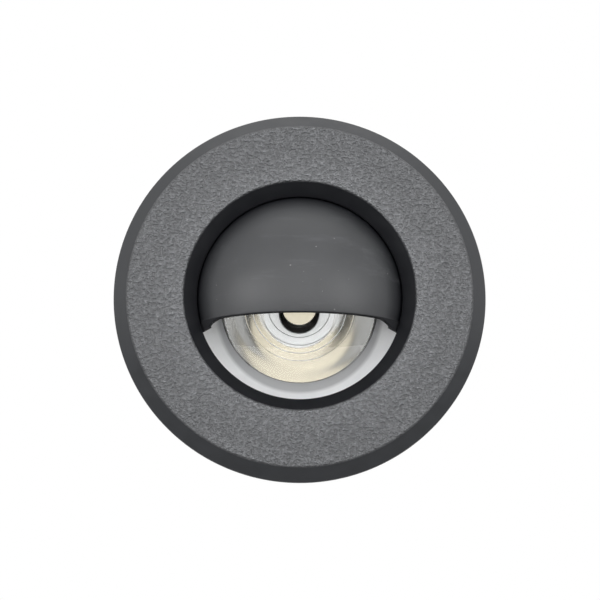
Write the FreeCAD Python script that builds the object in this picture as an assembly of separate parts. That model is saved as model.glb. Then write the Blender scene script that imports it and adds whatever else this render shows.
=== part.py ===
import FreeCAD, Part
import math
import os

# Recessed path light with a half-dome eyelid that turns about the light's axis.
# Millimetres. The front looks along -Y, +Z is up, and the origin is the middle of the wall's face.
# A station is a distance in front of the wall: a point at station s has y = -s.

# Clearances
eyelid_clearance = 0.06
eyelid_play = 0.05
hinge_clearance = 0.05
pin_clearance = 0.02
slip_clearance = 0.1
thread_clearance = 0.05
seal_clearance = 0.02

# Bezel
lip_radius = 16.6
lip_thickness = 0.5
lip_round = 0.1
throat_flare = 2.2
throat_depth = 2.3
bezel_overlap = 4.5
bezel_chamfer = 2.35
bezel_edge_height = 1.0
bezel_round = 0.3
seat_step = 1.0
collar_wall = 1.6
collar_length = 11.0

# Wall gasket
gasket_thickness = 1.0
gasket_inset = 0.8
gasket_gap = 0.3

# Eyelid
eyelid_ring_lap = 1.74
eyelid_ring_inset = 0.15
eyelid_ring_thickness = 1.3
hood_gap = 0.3
hood_wall = 1.3
hood_height = 9.75
hood_edge_drop = 4.0
hood_foot_drop = 1.5
hood_foot_inset = 4.1
hood_corner_radius = 3.2

# Optic holder and seals
front_seal_thickness = 0.8
front_seal_lap = 0.95
holder_mouth_inset = 0.3
holder_cone_depth = 5.1
window_radius = 12.75
window_lip_thickness = 0.4
optic_seal_thickness = 0.4
optic_seal_inset = 0.2

# Collimator
collimator_rim_width = 1.3
collimator_rim_thickness = 1.2
collimator_rim_ledge = 1.7
collimator_height = 9.0
collimator_neck_radius = 6.0
led_well_gap = 0.2
led_well_depth = 5.0
led_well_crown = 0.3
button_radius = 2.95
button_height = 0.5

# Collimator cup
cup_gap = 0.3
cup_wall = 0.8
cup_rim_thickness = 1.0

# LED and its board
led_base_radius = 3.4
led_base_height = 0.8
led_base_gap = 0.2
led_dome_radius = 2.2
led_board_radius = 15.0
led_board_thickness = 1.6
led_board_margin = 1.5
led_screw_margin = 3.2
led_screw_count = 3
led_screw_angle = 90.0
thermal_pad_thickness = 0.4
thermal_pad_inset = 0.4

# Small screws of the LED board and the driver board
small_screw_radius = 1.0
small_screw_bite = 2.6
small_head_radius = 1.9
small_head_height = 1.2
small_socket_width = 1.5
small_socket_depth = 0.6

# Heat spreader and LED leads
spreader_thickness = 4.0
lead_margin = 4.0
lead_angle = 0.0
lead_radius = 0.55
lead_hole_gap = 0.3
solder_radius = 1.1
solder_height = 0.5

# Housing
housing_wall = 4.45
housing_front_gap = 0.2
housing_oring_radius = 0.8
housing_oring_room = 0.25
guide_length = 11.5
guide_relief = 0.5
body_step = 1.2
spreader_ledge = 4.1
driver_space = 12.3
fin_slot_count = 7
fin_slot_pitch = 12.0
fin_slot_width = 1.8
fin_slot_depth = 2.2

# Driver board
standoff_margin = 3.35
standoff_angle = 30.0
standoff_radius = 2.2
standoff_length = 4.0
standoff_count = 3
stud_length = 1.5
driver_board_gap = 0.4
driver_board_thickness = 1.2
inductor_radius = 3.6
inductor_height = 4.4
inductor_flange = 0.8
inductor_groove = 0.7
capacitor_radius = 2.5
capacitor_height = 4.6
chip_length = 5.0
chip_width = 4.0
rectifier_height = 1.8
chip_height = 1.5
terminal_length = 8.0
terminal_width = 6.0
terminal_height = 4.6
terminal_bore = 0.9
terminal_pole_pitch = 4.0
terminal_margin = 4.95
chip_row_gap = 0.35
chip_spacing = 11.26
wound_margin = 4.35
inductor_angle = 225.0
capacitor_angle = 315.0

# Rear cover
cover_inset = 0.7
cover_thickness = 3.0
cover_round = 0.6
spigot_height = 1.5
spigot_wall = 2.1
cover_oring_radius = 0.7
cover_oring_wall = 0.7
cover_oring_squeeze = 0.1
cover_screw_radius = 1.1
cover_screw_bite = 5.0
cover_screw_wall = 0.78
cover_screw_count = 4
cover_screw_angle = 45.0
cover_head_radius = 2.2
cover_head_height = 1.5
cover_socket_width = 2.0
cover_socket_depth = 0.8

# Cable gland
gland_hex_width = 15.0
gland_hex_land = 1.5
gland_hex_height = 4.0
gland_tail_length = 7.0
gland_wall = 1.4
gland_washer_thickness = 1.0
gland_washer_inset = 0.1
gland_nut_gap = 0.5
gland_nut_end = 1.5
gland_nut_dome = 3.0
gland_nut_swell = 0.75
insert_wall = 1.5
insert_head_height = 1.6
insert_head_lap = 1.0
insert_depth = 5.0
mouth_clearance = 0.6

# Clips
clip_width = 9.0
clip_thickness = 1.5
clip_flush = 0.6
clip_rest_angle = 12.0
clip_tip_gap = 0.6
clip_tip_length = 2.5
clip_tip_thickness = 0.5
clip_side_gap = 0.4
clip_pocket_front = 0.4
clip_pivot_inset = 2.7
clip_pivot_from_rear = 5.85
clip_hub_radius = 2.0
clip_hub_gap = 0.3
clip_ear_thickness = 1.8
clip_stop_gap = 0.3
clip_floor_gap = 1.1
clip_pin_radius = 0.8
clip_pin_length = 15.0
spring_wire_radius = 0.3
spring_radius = 1.4
spring_pitch = 1.1
spring_loops = 4
spring_floor_angle = 6.0
spring_floor_leg = 5.0
spring_arm_leg = 9.0

# Radii, from the lip outwards
neck_radius = lip_radius - hood_gap
carrier_bore = lip_radius + eyelid_ring_inset
carrier_radius = lip_radius + eyelid_ring_lap
seat_radius = carrier_radius + eyelid_clearance
bezel_bore = seat_radius + seat_step
collar_radius = bezel_bore + collar_wall
housing_bore = collar_radius + thread_clearance
guide_radius = housing_bore + housing_wall
body_radius = guide_radius - body_step
bezel_radius = guide_radius + bezel_overlap
stack_radius = bezel_bore - slip_clearance
driver_space_radius = housing_bore - spreader_ledge
cover_radius = body_radius - cover_inset
driver_board_radius = driver_space_radius - driver_board_gap
cover_groove_half = cover_oring_radius + seal_clearance
cover_oring_circle = driver_space_radius + cover_oring_wall + cover_oring_radius
cover_screw_hole = cover_screw_radius + thread_clearance
gland_thread_radius = gland_hex_width / 2 - gland_hex_land
gland_bore_radius = gland_thread_radius - gland_wall
insert_radius = gland_bore_radius - slip_clearance
insert_bore_radius = insert_radius - insert_wall
led_well_radius = led_dome_radius + led_well_gap

# Circles that screws, leads and driver parts sit on
led_screw_circle = led_board_radius - led_screw_margin
lead_circle = led_board_radius - lead_margin
standoff_circle = driver_board_radius - standoff_margin
wound_circle = driver_board_radius - wound_margin - inductor_radius
terminal_height_up = driver_board_radius - terminal_margin - terminal_width / 2
chip_height_up = terminal_height_up - (terminal_width + chip_width) / 2 - chip_row_gap
cover_screw_circle = cover_oring_circle + cover_groove_half + cover_screw_wall + cover_screw_hole

# Stations, from the wall forwards
bezel_back = gasket_thickness
bezel_shoulder = bezel_back + bezel_edge_height
bezel_face = bezel_shoulder + bezel_chamfer
lip_front = bezel_face - throat_depth
lip_back = lip_front - lip_thickness

# Stations, from the lip backwards
carrier_front = lip_back - eyelid_play
carrier_back = carrier_front - eyelid_ring_thickness
seal_front = carrier_back - eyelid_play
holder_front = seal_front - front_seal_thickness
window_front = holder_front - holder_cone_depth
window_back = window_front - window_lip_thickness
optic_front = window_back - optic_seal_thickness
rim_back = optic_front - collimator_rim_thickness
optic_back = optic_front - collimator_height
led_front = optic_back - led_base_gap
led_board_front = led_front - led_base_height
led_board_back = led_board_front - led_board_thickness
spreader_front = led_board_back - thermal_pad_thickness
spreader_back = spreader_front - spreader_thickness
driver_board_front = spreader_back - standoff_length
driver_board_back = driver_board_front - driver_board_thickness
housing_front = bezel_back - housing_front_gap
guide_end = -guide_length
housing_back = spreader_back - driver_space
cover_back = housing_back - cover_thickness
washer_back = cover_back - gland_washer_thickness
hex_back = washer_back - gland_hex_height
tail_back = hex_back - gland_tail_length
insert_back = tail_back - insert_head_height
nut_back = insert_back - gland_nut_end

# Clip frame
pivot_radius = body_radius - clip_pivot_inset
pivot_station = housing_back + clip_pivot_from_rear
pocket_width = clip_width + 2 * clip_side_gap
pocket_front_station = guide_end - clip_pocket_front
tip_station = pocket_front_station - clip_tip_gap
arm_outer = guide_radius - clip_flush
arm_inner = arm_outer - clip_thickness
pocket_floor = arm_inner - clip_floor_gap
hub_floor = pivot_radius - clip_hub_radius - clip_hub_gap
hub_pocket_front = spreader_back - clip_floor_gap
heel_reach = ((arm_outer - pivot_radius) * math.sin(math.radians(clip_rest_angle))
              + clip_hub_radius * math.cos(math.radians(clip_rest_angle)))
hub_pocket_back = pivot_station - heel_reach - clip_stop_gap

SMALLEST_EDGE = 1e-6
STOPS_PER_LOOP = 40
AXIS = FreeCAD.Vector(0, 1, 0)
ORIGIN = FreeCAD.Vector(0, 0, 0)
PIVOT_AXIS = FreeCAD.Vector(0, 0, 1)


def corner_arc(before, corner, after, radius):
    """The two ends and the middle of the arc that rounds a corner."""
    to_before = (before - corner).normalize()
    to_after = (after - corner).normalize()
    half_angle = to_before.getAngle(to_after) / 2
    inward = (to_before + to_after).normalize()
    reach = radius / math.tan(half_angle)
    middle = corner + inward * (radius / math.sin(half_angle) - radius)
    return corner + to_before * reach, middle, corner + to_after * reach


def outline(corners, bulges=None):
    """A closed wire through (radius, station[, rounding]) corners.

    bulges gives the middle point of the arc that leaves a corner, by that corner's number.
    """
    bulges = bulges or {}
    points = [FreeCAD.Vector(corner[0], -corner[1], 0) for corner in corners]
    count = len(points)
    edges = []
    starts = []
    ends = []
    for number, corner in enumerate(corners):
        if len(corner) == 3:
            first, middle, last = corner_arc(points[number - 1], points[number],
                                             points[(number + 1) % count], corner[2])
            edges.append(Part.Arc(first, middle, last).toShape())
        else:
            first = last = points[number]
        ends.append(first)
        starts.append(last)
    for number in range(count):
        start = starts[number]
        end = ends[(number + 1) % count]
        if number in bulges:
            middle = FreeCAD.Vector(bulges[number][0], -bulges[number][1], 0)
            edges.append(Part.Arc(start, middle, end).toShape())
        elif start.distanceToPoint(end) > SMALLEST_EDGE:
            edges.append(Part.LineSegment(start, end).toShape())
    return Part.Wire(Part.__sortEdges__(edges))


def turned(corners, bulges=None):
    """A solid turned about the light's axis."""
    return Part.Face(outline(corners, bulges)).revolve(ORIGIN, AXIS, 360)


def ring(inner, outer, back, front):
    """A plain ring about the light's axis."""
    return turned([(inner, back), (outer, back), (outer, front), (inner, front)])


def rod(radius, back, front, x=0.0, z=0.0):
    """A round rod along the light's axis, between two stations."""
    return Part.makeCylinder(radius, front - back, FreeCAD.Vector(x, -front, z), AXIS)


def block(length, width, back, front, x=0.0, z=0.0):
    """A box between two stations, centred on x and z."""
    corner = FreeCAD.Vector(x - length / 2, -front, z - width / 2)
    return Part.makeBox(length, front - back, width, corner)


def hexagon(across, back, front, x=0.0, z=0.0):
    """A six-sided bar along the light's axis, measured across its flats."""
    reach = across / math.sqrt(3)
    corners = [FreeCAD.Vector(x + reach * math.cos(math.radians(60 * side)), -front,
                              z + reach * math.sin(math.radians(60 * side))) for side in range(7)]
    return Part.Face(Part.makePolygon(corners)).extrude(AXIS * (front - back))


def oring(circle, station, radius):
    """A round seal about the light's axis."""
    return Part.makeTorus(circle, radius, FreeCAD.Vector(0, -station, 0), AXIS)


def on_circle(circle, degrees):
    """The x and z of a place on a circle about the axis, counted from +X towards +Z."""
    angle = math.radians(degrees)
    return circle * math.cos(angle), circle * math.sin(angle)


def spread(circle, count, first):
    """Evenly spaced places on a circle."""
    return [on_circle(circle, first + 360.0 * number / count) for number in range(count)]


def small_screw(x, z, seat, facing, length):
    """A small cap screw with its head on a seat; facing is 1 for a head in front, -1 for one behind."""
    if facing > 0:
        head = rod(small_head_radius, seat, seat + small_head_height, x, z)
        shank = rod(small_screw_radius, seat - length, seat, x, z)
        top = seat + small_head_height
        socket = hexagon(small_socket_width, top - small_socket_depth, top, x, z)
    else:
        head = rod(small_head_radius, seat - small_head_height, seat, x, z)
        shank = rod(small_screw_radius, seat, seat + length, x, z)
        top = seat - small_head_height
        socket = hexagon(small_socket_width, top, top + small_socket_depth, x, z)
    return head.fuse(shank).removeSplitter().cut(socket)


def save(name, *solids):
    """Write one named piece, or a group of alike pieces."""
    shape = solids[0] if len(solids) == 1 else Part.makeCompound(list(solids))
    shape.exportStep(os.path.join("parts", name + ".step"))


def wall_gasket():
    return ring(guide_radius + gasket_gap, bezel_radius - gasket_inset, 0, gasket_thickness)


def bezel():
    return turned([
        (lip_radius, lip_back), (lip_radius, lip_front, lip_round),
        (lip_radius + throat_flare, bezel_face, bezel_round),
        (bezel_radius - bezel_chamfer, bezel_face, bezel_round),
        (bezel_radius, bezel_shoulder, bezel_round), (bezel_radius, bezel_back),
        (collar_radius, bezel_back), (collar_radius, bezel_back - collar_length),
        (bezel_bore, bezel_back - collar_length), (bezel_bore, seal_front),
        (seat_radius, seal_front), (seat_radius, lip_back)])


def cap_radius(width, height):
    """Radius of the sphere whose cap has this half width and height."""
    return (width ** 2 + height ** 2) / (2 * height)


def cap_middle(width, height, top):
    """A point half way out on a round cap about the axis; a cap with a negative height is hollow."""
    radius = cap_radius(width, height)
    return width / 2, top - radius + math.copysign(math.sqrt(radius ** 2 - width ** 2 / 4), height)


def dome(neck, foot, radius, centre):
    """A solid dome of one sphere on a straight neck."""
    rise = math.sqrt(radius ** 2 - neck ** 2)
    top = centre + radius
    middle = cap_middle(neck, radius - rise, top)
    return turned([(0, foot), (neck, foot), (neck, centre + rise), (0, top)], {2: middle})


def hood_opening():
    """The space cut out of the dome: a level edge whose two ends round down to short feet."""
    edge = -hood_edge_drop
    foot = edge - hood_foot_drop
    half_edge = neck_radius - hood_foot_inset
    run = math.sqrt(hood_corner_radius ** 2 - (hood_corner_radius - hood_foot_drop) ** 2)
    turn_angle = math.acos(1 - hood_foot_drop / hood_corner_radius) / 2
    bend_x = half_edge + hood_corner_radius * math.sin(turn_angle)
    bend_z = edge - hood_corner_radius * (1 - math.cos(turn_angle))
    reach = carrier_radius + hood_wall
    front = -(lip_front + hood_height + hood_wall)

    def place(x, z):
        return FreeCAD.Vector(x, front, z)

    right = Part.Arc(place(half_edge, edge), place(bend_x, bend_z), place(half_edge + run, foot))
    left = Part.Arc(place(-half_edge - run, foot), place(-bend_x, bend_z), place(-half_edge, edge))
    sides = Part.makePolygon([place(half_edge + run, foot), place(reach, foot), place(reach, -reach),
                              place(-reach, -reach), place(-reach, foot), place(-half_edge - run, foot)])
    top = Part.LineSegment(place(-half_edge, edge), place(half_edge, edge))
    edges = [right.toShape(), left.toShape(), top.toShape()] + sides.Edges
    face = Part.Face(Part.Wire(Part.__sortEdges__(edges)))
    return face.extrude(AXIS * (-front - carrier_back + hood_wall))


def eyelid_hood():
    radius = cap_radius(neck_radius, hood_height)
    centre = lip_front + hood_height - radius
    shell = dome(neck_radius, carrier_back, radius, centre)
    hollow = dome(neck_radius - hood_wall, carrier_back - hood_wall, radius - hood_wall, centre)
    flange = ring(neck_radius - hood_wall, carrier_radius, carrier_back, carrier_front)
    carrier = ring(carrier_bore, carrier_radius, carrier_back, carrier_front)
    return shell.cut(hollow).fuse(flange).cut(hood_opening()).fuse(carrier).removeSplitter()


def front_seal():
    return ring(carrier_radius - front_seal_lap, stack_radius, holder_front, seal_front)


def optic_holder():
    rim_bore = window_radius + collimator_rim_width + slip_clearance
    skirt_bore = led_board_radius + led_board_margin
    rim_pocket_end = rim_back - cup_rim_thickness - slip_clearance
    return turned([
        (lip_radius + holder_mouth_inset, holder_front, lip_round), (window_radius, window_front, lip_round),
        (window_radius, window_back), (rim_bore, window_back), (rim_bore, rim_pocket_end),
        (skirt_bore, rim_pocket_end), (skirt_bore, spreader_front),
        (stack_radius, spreader_front), (stack_radius, holder_front)])


def optic_seal():
    return ring(window_radius + optic_seal_inset, window_radius + collimator_rim_width,
                optic_front, window_back)


def collimator_side(share):
    """Radius and station on the collimator's flank, at a share of its height from the neck to the rim.

    The flank is a parabola, so the square of the radius grows evenly with the height.
    """
    top = window_radius + collimator_rim_width - collimator_rim_ledge
    square = collimator_neck_radius ** 2 * (1 - share) + top ** 2 * share
    return math.sqrt(square), optic_back + (rim_back - optic_back) * share


def collimator():
    rim = window_radius + collimator_rim_width
    well_top = optic_back + led_well_depth
    button_top = optic_front + button_height
    crown_top = well_top - led_well_crown
    return turned([
        (0, button_top), (button_radius, optic_front), (rim, optic_front), (rim, rim_back),
        collimator_side(1), collimator_side(0), (led_well_radius, optic_back), (led_well_radius, well_top),
        (0, crown_top)],
        {0: cap_middle(button_radius, button_height, button_top), 4: collimator_side(0.5),
         7: cap_middle(led_well_radius, -led_well_crown, crown_top)})


def collimator_cup():
    rim = window_radius + collimator_rim_width
    top, middle, neck = [(radius + cup_gap, station) for radius, station in
                         (collimator_side(1), collimator_side(0.5), collimator_side(0))]
    rim_low = rim_back - cup_rim_thickness
    return turned([
        top, neck, (neck[0], led_board_front), (neck[0] + cup_wall, led_board_front),
        (neck[0] + cup_wall, neck[1]), (top[0] + cup_wall, rim_low), (rim, rim_low), (rim, rim_back)],
        {0: middle, 4: (middle[0] + cup_wall, middle[1] - cup_rim_thickness / 2)})


def led_base():
    return rod(led_base_radius, led_board_front, led_front)


def led_dome():
    ball = Part.makeSphere(led_dome_radius, FreeCAD.Vector(0, -led_front, 0))
    return ball.common(rod(led_dome_radius, led_front, led_front + led_dome_radius))


def led_board_screw_places():
    return spread(led_screw_circle, led_screw_count, led_screw_angle)


def lead_places():
    return spread(lead_circle, 2, lead_angle)


def drilled(shape, places, radius, back, front):
    """The shape with round holes through it at the given places."""
    for x, z in places:
        shape = shape.cut(rod(radius, back, front, x, z))
    return shape


def led_board():
    board = rod(led_board_radius, led_board_back, led_board_front)
    board = drilled(board, led_board_screw_places(), small_screw_radius + slip_clearance,
                    led_board_back, led_board_front)
    return drilled(board, lead_places(), lead_radius + slip_clearance, led_board_back, led_board_front)


def led_board_screws():
    length = led_board_thickness + thermal_pad_thickness + small_screw_bite
    return [small_screw(x, z, led_board_front, 1, length) for x, z in led_board_screw_places()]


def thermal_pad():
    pad = rod(led_board_radius - thermal_pad_inset, spreader_front, led_board_back)
    pad = drilled(pad, led_board_screw_places(), small_screw_radius + slip_clearance,
                  spreader_front, led_board_back)
    return drilled(pad, lead_places(), lead_radius + lead_hole_gap, spreader_front, led_board_back)


def standoff_places():
    return spread(standoff_circle, standoff_count, standoff_angle)


def heat_spreader():
    plate = rod(housing_bore - slip_clearance, spreader_back, spreader_front)
    plate = drilled(plate, led_board_screw_places(), small_screw_radius + thread_clearance,
                    spreader_front - small_screw_bite - slip_clearance, spreader_front)
    plate = drilled(plate, standoff_places(), small_screw_radius + thread_clearance,
                    spreader_back, spreader_back + stud_length + slip_clearance)
    return drilled(plate, lead_places(), lead_radius + lead_hole_gap, spreader_back, spreader_front)


def led_leads():
    """Two wires from the LED board to the driver board, each with a solder bead at both ends."""
    leads = []
    for x, z in lead_places():
        wire = rod(lead_radius, driver_board_back - solder_height, led_board_front + solder_height, x, z)
        front_bead = rod(solder_radius, led_board_front, led_board_front + solder_height, x, z)
        back_bead = rod(solder_radius, driver_board_back - solder_height, driver_board_back, x, z)
        leads.append(wire.fuse([front_bead, back_bead]).removeSplitter())
    return leads


def driver_standoffs():
    standoffs = []
    for x, z in standoff_places():
        post = rod(standoff_radius, driver_board_front, spreader_back, x, z)
        stud = rod(small_screw_radius, spreader_back, spreader_back + stud_length, x, z)
        tapped = rod(small_screw_radius + thread_clearance, driver_board_front,
                     driver_board_front + small_screw_bite + slip_clearance, x, z)
        standoffs.append(post.fuse(stud).cut(tapped))
    return standoffs


def driver_board():
    board = rod(driver_board_radius, driver_board_back, driver_board_front)
    board = drilled(board, standoff_places(), small_screw_radius + slip_clearance,
                    driver_board_back, driver_board_front)
    return drilled(board, lead_places(), lead_radius + slip_clearance, driver_board_back, driver_board_front)


def driver_screws():
    length = driver_board_thickness + small_screw_bite
    return [small_screw(x, z, driver_board_back, -1, length) for x, z in standoff_places()]


def driver_inductor():
    """A drum core: two flanges with a wound waist between them."""
    x, z = on_circle(wound_circle, inductor_angle)
    foot = driver_board_back
    low = rod(inductor_radius, foot - inductor_flange, foot, x, z)
    high = rod(inductor_radius, foot - inductor_height, foot - inductor_height + inductor_flange, x, z)
    waist = rod(inductor_radius - inductor_groove, foot - inductor_height, foot, x, z)
    return waist.fuse([low, high]).removeSplitter()


def driver_capacitor():
    x, z = on_circle(wound_circle, capacitor_angle)
    return rod(capacitor_radius, driver_board_back - capacitor_height, driver_board_back, x, z)


def driver_rectifier():
    return block(chip_length, chip_width, driver_board_back - rectifier_height, driver_board_back,
                 -chip_spacing / 2, chip_height_up)


def driver_chip():
    return block(chip_length, chip_width, driver_board_back - chip_height, driver_board_back,
                 chip_spacing / 2, chip_height_up)


def supply_terminal():
    """A two-pole terminal block with its wire holes facing the gland."""
    top = driver_board_back - terminal_height
    body = block(terminal_length, terminal_width, top, driver_board_back, 0, terminal_height_up)
    poles = [(side * terminal_pole_pitch / 2, terminal_height_up) for side in (-1, 1)]
    return drilled(body, poles, terminal_bore, top, top + terminal_height / 2)


def cover_screw_places():
    return spread(cover_screw_circle, cover_screw_count, cover_screw_angle)


def clip_pocket():
    """The recess that the right clip folds into, deeper round the hub."""
    reach = bezel_radius
    long_part = Part.makeBox(reach - pocket_floor, pocket_front_station - hub_pocket_back, pocket_width,
                             FreeCAD.Vector(pocket_floor, -pocket_front_station, -pocket_width / 2))
    hub_part = Part.makeBox(reach - hub_floor, hub_pocket_front - hub_pocket_back, pocket_width,
                            FreeCAD.Vector(hub_floor, -hub_pocket_front, -pocket_width / 2))
    drill = Part.makeCylinder(clip_pin_radius + pin_clearance, clip_pin_length / 2 + body_radius,
                              FreeCAD.Vector(pivot_radius, -pivot_station, -clip_pin_length / 2), PIVOT_AXIS)
    return long_part.fuse([hub_part, drill])


def mirrored(shape):
    """The left-hand twin of a right-hand shape."""
    return shape.mirror(ORIGIN, FreeCAD.Vector(1, 0, 0))


def fin_slots():
    """Cooling slots along the upper and lower sides of the body."""
    depth = fin_slot_depth + body_step
    slots = []
    for side in (90, 270):
        for number in range(fin_slot_count):
            degrees = side + fin_slot_pitch * (number - (fin_slot_count - 1) / 2)
            corner = FreeCAD.Vector(body_radius - fin_slot_depth, -guide_end, -fin_slot_width / 2)
            slot = Part.makeBox(depth, guide_end - housing_back, fin_slot_width, corner)
            slot.rotate(ORIGIN, AXIS, -degrees)
            slots.append(slot)
    return slots


def housing():
    groove = 2 * housing_oring_radius + housing_oring_room
    groove_depth = 2 * housing_oring_radius - housing_front_gap + 2 * seal_clearance
    body = turned([
        (housing_bore, spreader_back), (housing_bore, housing_front - groove_depth),
        (housing_bore + groove, housing_front - groove_depth), (housing_bore + groove, housing_front),
        (guide_radius - guide_relief, housing_front), (guide_radius - guide_relief, 0), (guide_radius, 0),
        (guide_radius, guide_end), (body_radius, guide_end),
        (body_radius, housing_back), (driver_space_radius, housing_back),
        (driver_space_radius, spreader_back)])
    seal_groove = ring(cover_oring_circle - cover_groove_half, cover_oring_circle + cover_groove_half,
                       housing_back, housing_back + 2 * cover_oring_radius - cover_oring_squeeze)
    pocket = clip_pocket()
    body = body.cut([seal_groove, pocket, mirrored(pocket)] + fin_slots())
    return drilled(body, cover_screw_places(), cover_screw_hole,
                   housing_back, housing_back + cover_screw_bite + slip_clearance)


def housing_oring():
    station = bezel_back - housing_oring_radius - seal_clearance
    return oring(housing_bore + housing_oring_radius + seal_clearance, station, housing_oring_radius)


def rear_cover():
    spigot = driver_space_radius - slip_clearance
    hole = gland_thread_radius + thread_clearance
    gap = cover_oring_squeeze
    plate = turned([
        (hole, cover_back), (cover_radius, cover_back, cover_round), (cover_radius, housing_back - gap),
        (spigot, housing_back - gap), (spigot, housing_back + spigot_height),
        (spigot - spigot_wall, housing_back + spigot_height), (spigot - spigot_wall, housing_back - gap),
        (hole, housing_back - gap)])
    plate = drilled(plate, cover_screw_places(), cover_screw_radius + slip_clearance,
                    cover_back, housing_back)
    return drilled(plate, cover_screw_places(), cover_head_radius + slip_clearance,
                   cover_back, cover_back + cover_head_height)


def rear_cover_oring():
    station = housing_back + cover_oring_radius - cover_oring_squeeze
    return oring(cover_oring_circle, station, cover_oring_radius - seal_clearance)


def rear_cover_screws():
    seat = cover_back + cover_head_height
    screws = []
    for x, z in cover_screw_places():
        head = rod(cover_head_radius, cover_back, seat, x, z)
        shank = rod(cover_screw_radius, seat, housing_back + cover_screw_bite, x, z)
        socket = hexagon(cover_socket_width, cover_back, cover_back + cover_socket_depth, x, z)
        screws.append(head.fuse(shank).removeSplitter().cut(socket))
    return screws


def gland_body():
    shank = rod(gland_thread_radius, washer_back, housing_back)
    collar = hexagon(gland_hex_width, hex_back, washer_back)
    tail = rod(gland_thread_radius, tail_back, hex_back)
    bore = rod(gland_bore_radius, tail_back, housing_back)
    return shank.fuse([collar, tail]).removeSplitter().cut(bore)


def gland_washer():
    return ring(gland_thread_radius + slip_clearance, gland_hex_width / 2 - gland_washer_inset,
                washer_back, cover_back)


def gland_insert():
    head = insert_radius + insert_head_lap
    return turned([
        (insert_bore_radius, insert_back), (head, insert_back), (head, tail_back),
        (insert_radius, tail_back), (insert_radius, tail_back + insert_depth),
        (insert_bore_radius, tail_back + insert_depth)])


def gland_nut():
    front = hex_back - gland_nut_gap
    bore = gland_thread_radius + thread_clearance
    mouth = insert_bore_radius + mouth_clearance
    reach = gland_hex_width / math.sqrt(3)
    end_radius = gland_hex_width / 2 - gland_nut_end
    dome_middle = ((end_radius + reach) / 2 + gland_nut_swell,
                   nut_back + (gland_nut_dome - gland_nut_swell) / 2)
    envelope = turned([
        (mouth, nut_back), (end_radius, nut_back), (reach, nut_back + gland_nut_dome), (reach, front),
        (bore, front), (bore, insert_back), (mouth, insert_back)], {1: dome_middle})
    return envelope.common(hexagon(gland_hex_width, nut_back, front))


def folded_clip():
    """The right clip arm, folded into its pocket: a bar with two ears on the pin and a ramped tip."""
    half = clip_width / 2
    heel = pivot_station - clip_hub_radius
    ramp = tip_station - clip_tip_length
    corners = [(arm_inner, heel), (arm_outer, heel), (arm_outer, ramp),
               (arm_inner + clip_tip_thickness, tip_station), (arm_inner, tip_station)]
    points = [FreeCAD.Vector(x, -station, -half) for x, station in corners]
    bar = Part.Face(Part.makePolygon(points + points[:1])).extrude(PIVOT_AXIS * clip_width)
    web = Part.makeBox(arm_inner - pivot_radius, 2 * clip_hub_radius, clip_width,
                       FreeCAD.Vector(pivot_radius, -pivot_station - clip_hub_radius, -half))
    hub_foot = FreeCAD.Vector(pivot_radius, -pivot_station, -half)
    hub = Part.makeCylinder(clip_hub_radius, clip_width, hub_foot, PIVOT_AXIS)
    reach = 2 * clip_hub_radius
    spring_room = Part.makeBox(arm_inner - hub_floor, 2 * reach, clip_width - 2 * clip_ear_thickness,
                               FreeCAD.Vector(hub_floor, -pivot_station - reach, clip_ear_thickness - half))
    bore = Part.makeCylinder(clip_pin_radius + hinge_clearance, clip_width, hub_foot, PIVOT_AXIS)
    return bar.fuse([web, hub]).removeSplitter().cut([spring_room, bore])


def clip_arm():
    """The right clip arm at rest, sprung out of its pocket."""
    arm = folded_clip()
    arm.rotate(FreeCAD.Vector(pivot_radius, -pivot_station, 0), PIVOT_AXIS, clip_rest_angle)
    return arm


def clip_pin():
    foot = FreeCAD.Vector(pivot_radius, -pivot_station, -clip_pin_length / 2)
    return Part.makeCylinder(clip_pin_radius, clip_pin_length, foot, PIVOT_AXIS)


def tangent_arc(start, meet, end):
    """The arc between two points whose tangents there meet in one point."""
    chord = (start + end) / 2
    half = start.distanceToPoint(end) / 2
    lean = math.acos(half / start.distanceToPoint(meet))
    middle = chord + (meet - chord).normalize() * (half * math.tan(lean / 2))
    return Part.Arc(start, middle, end).toShape()


def biarc(start, leaving, end, arriving):
    """Two arcs that join two points and keep both directions."""
    across = end - start
    both = leaving + arriving
    square = both.dot(both) - 4
    middle_term = across.dot(both)
    reach = (middle_term - math.sqrt(middle_term ** 2 - square * across.dot(across))) / square
    first = start + leaving * reach
    second = end - arriving * reach
    joint = (first + second) / 2
    return [tangent_arc(start, first, joint), tangent_arc(joint, second, end)]


def spring_point(angle, first, last):
    """Place and direction on the right spring's coil, at an angle from the outward side to the front."""
    rise = spring_pitch / (2 * math.pi)
    height = rise * (angle - (first + last) / 2)
    place = FreeCAD.Vector(pivot_radius + spring_radius * math.cos(angle),
                           -pivot_station - spring_radius * math.sin(angle), height)
    direction = FreeCAD.Vector(-spring_radius * math.sin(angle), -spring_radius * math.cos(angle), rise)
    return place, direction.normalize()


def clip_spring():
    """The right torsion spring: a leg on the pocket's floor, the coil round the pin, a leg under the arm."""
    first = math.pi + math.radians(spring_floor_angle)
    last = 2 * math.pi * spring_loops - math.radians(clip_rest_angle)
    steps = math.ceil((last - first) / (math.pi / 2))
    stops = [spring_point(first + (last - first) * step / steps, first, last) for step in range(steps + 1)]
    for end in (0, -1):
        place, direction = stops[end]
        stops[end] = (place, FreeCAD.Vector(direction.x, direction.y, 0).normalize())
    floor_end = stops[0][0] - stops[0][1] * spring_floor_leg
    arm_end = stops[-1][0] + stops[-1][1] * spring_arm_leg
    edges = [Part.LineSegment(floor_end, stops[0][0]).toShape()]
    for (start, leaving), (end, arriving) in zip(stops, stops[1:]):
        edges.extend(biarc(start, leaving, end, arriving))
    edges.append(Part.LineSegment(stops[-1][0], arm_end).toShape())
    section = Part.Wire(Part.makeCircle(spring_wire_radius, floor_end, stops[0][1]))
    return Part.Wire(edges).makePipeShell([section], True, False)


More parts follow.
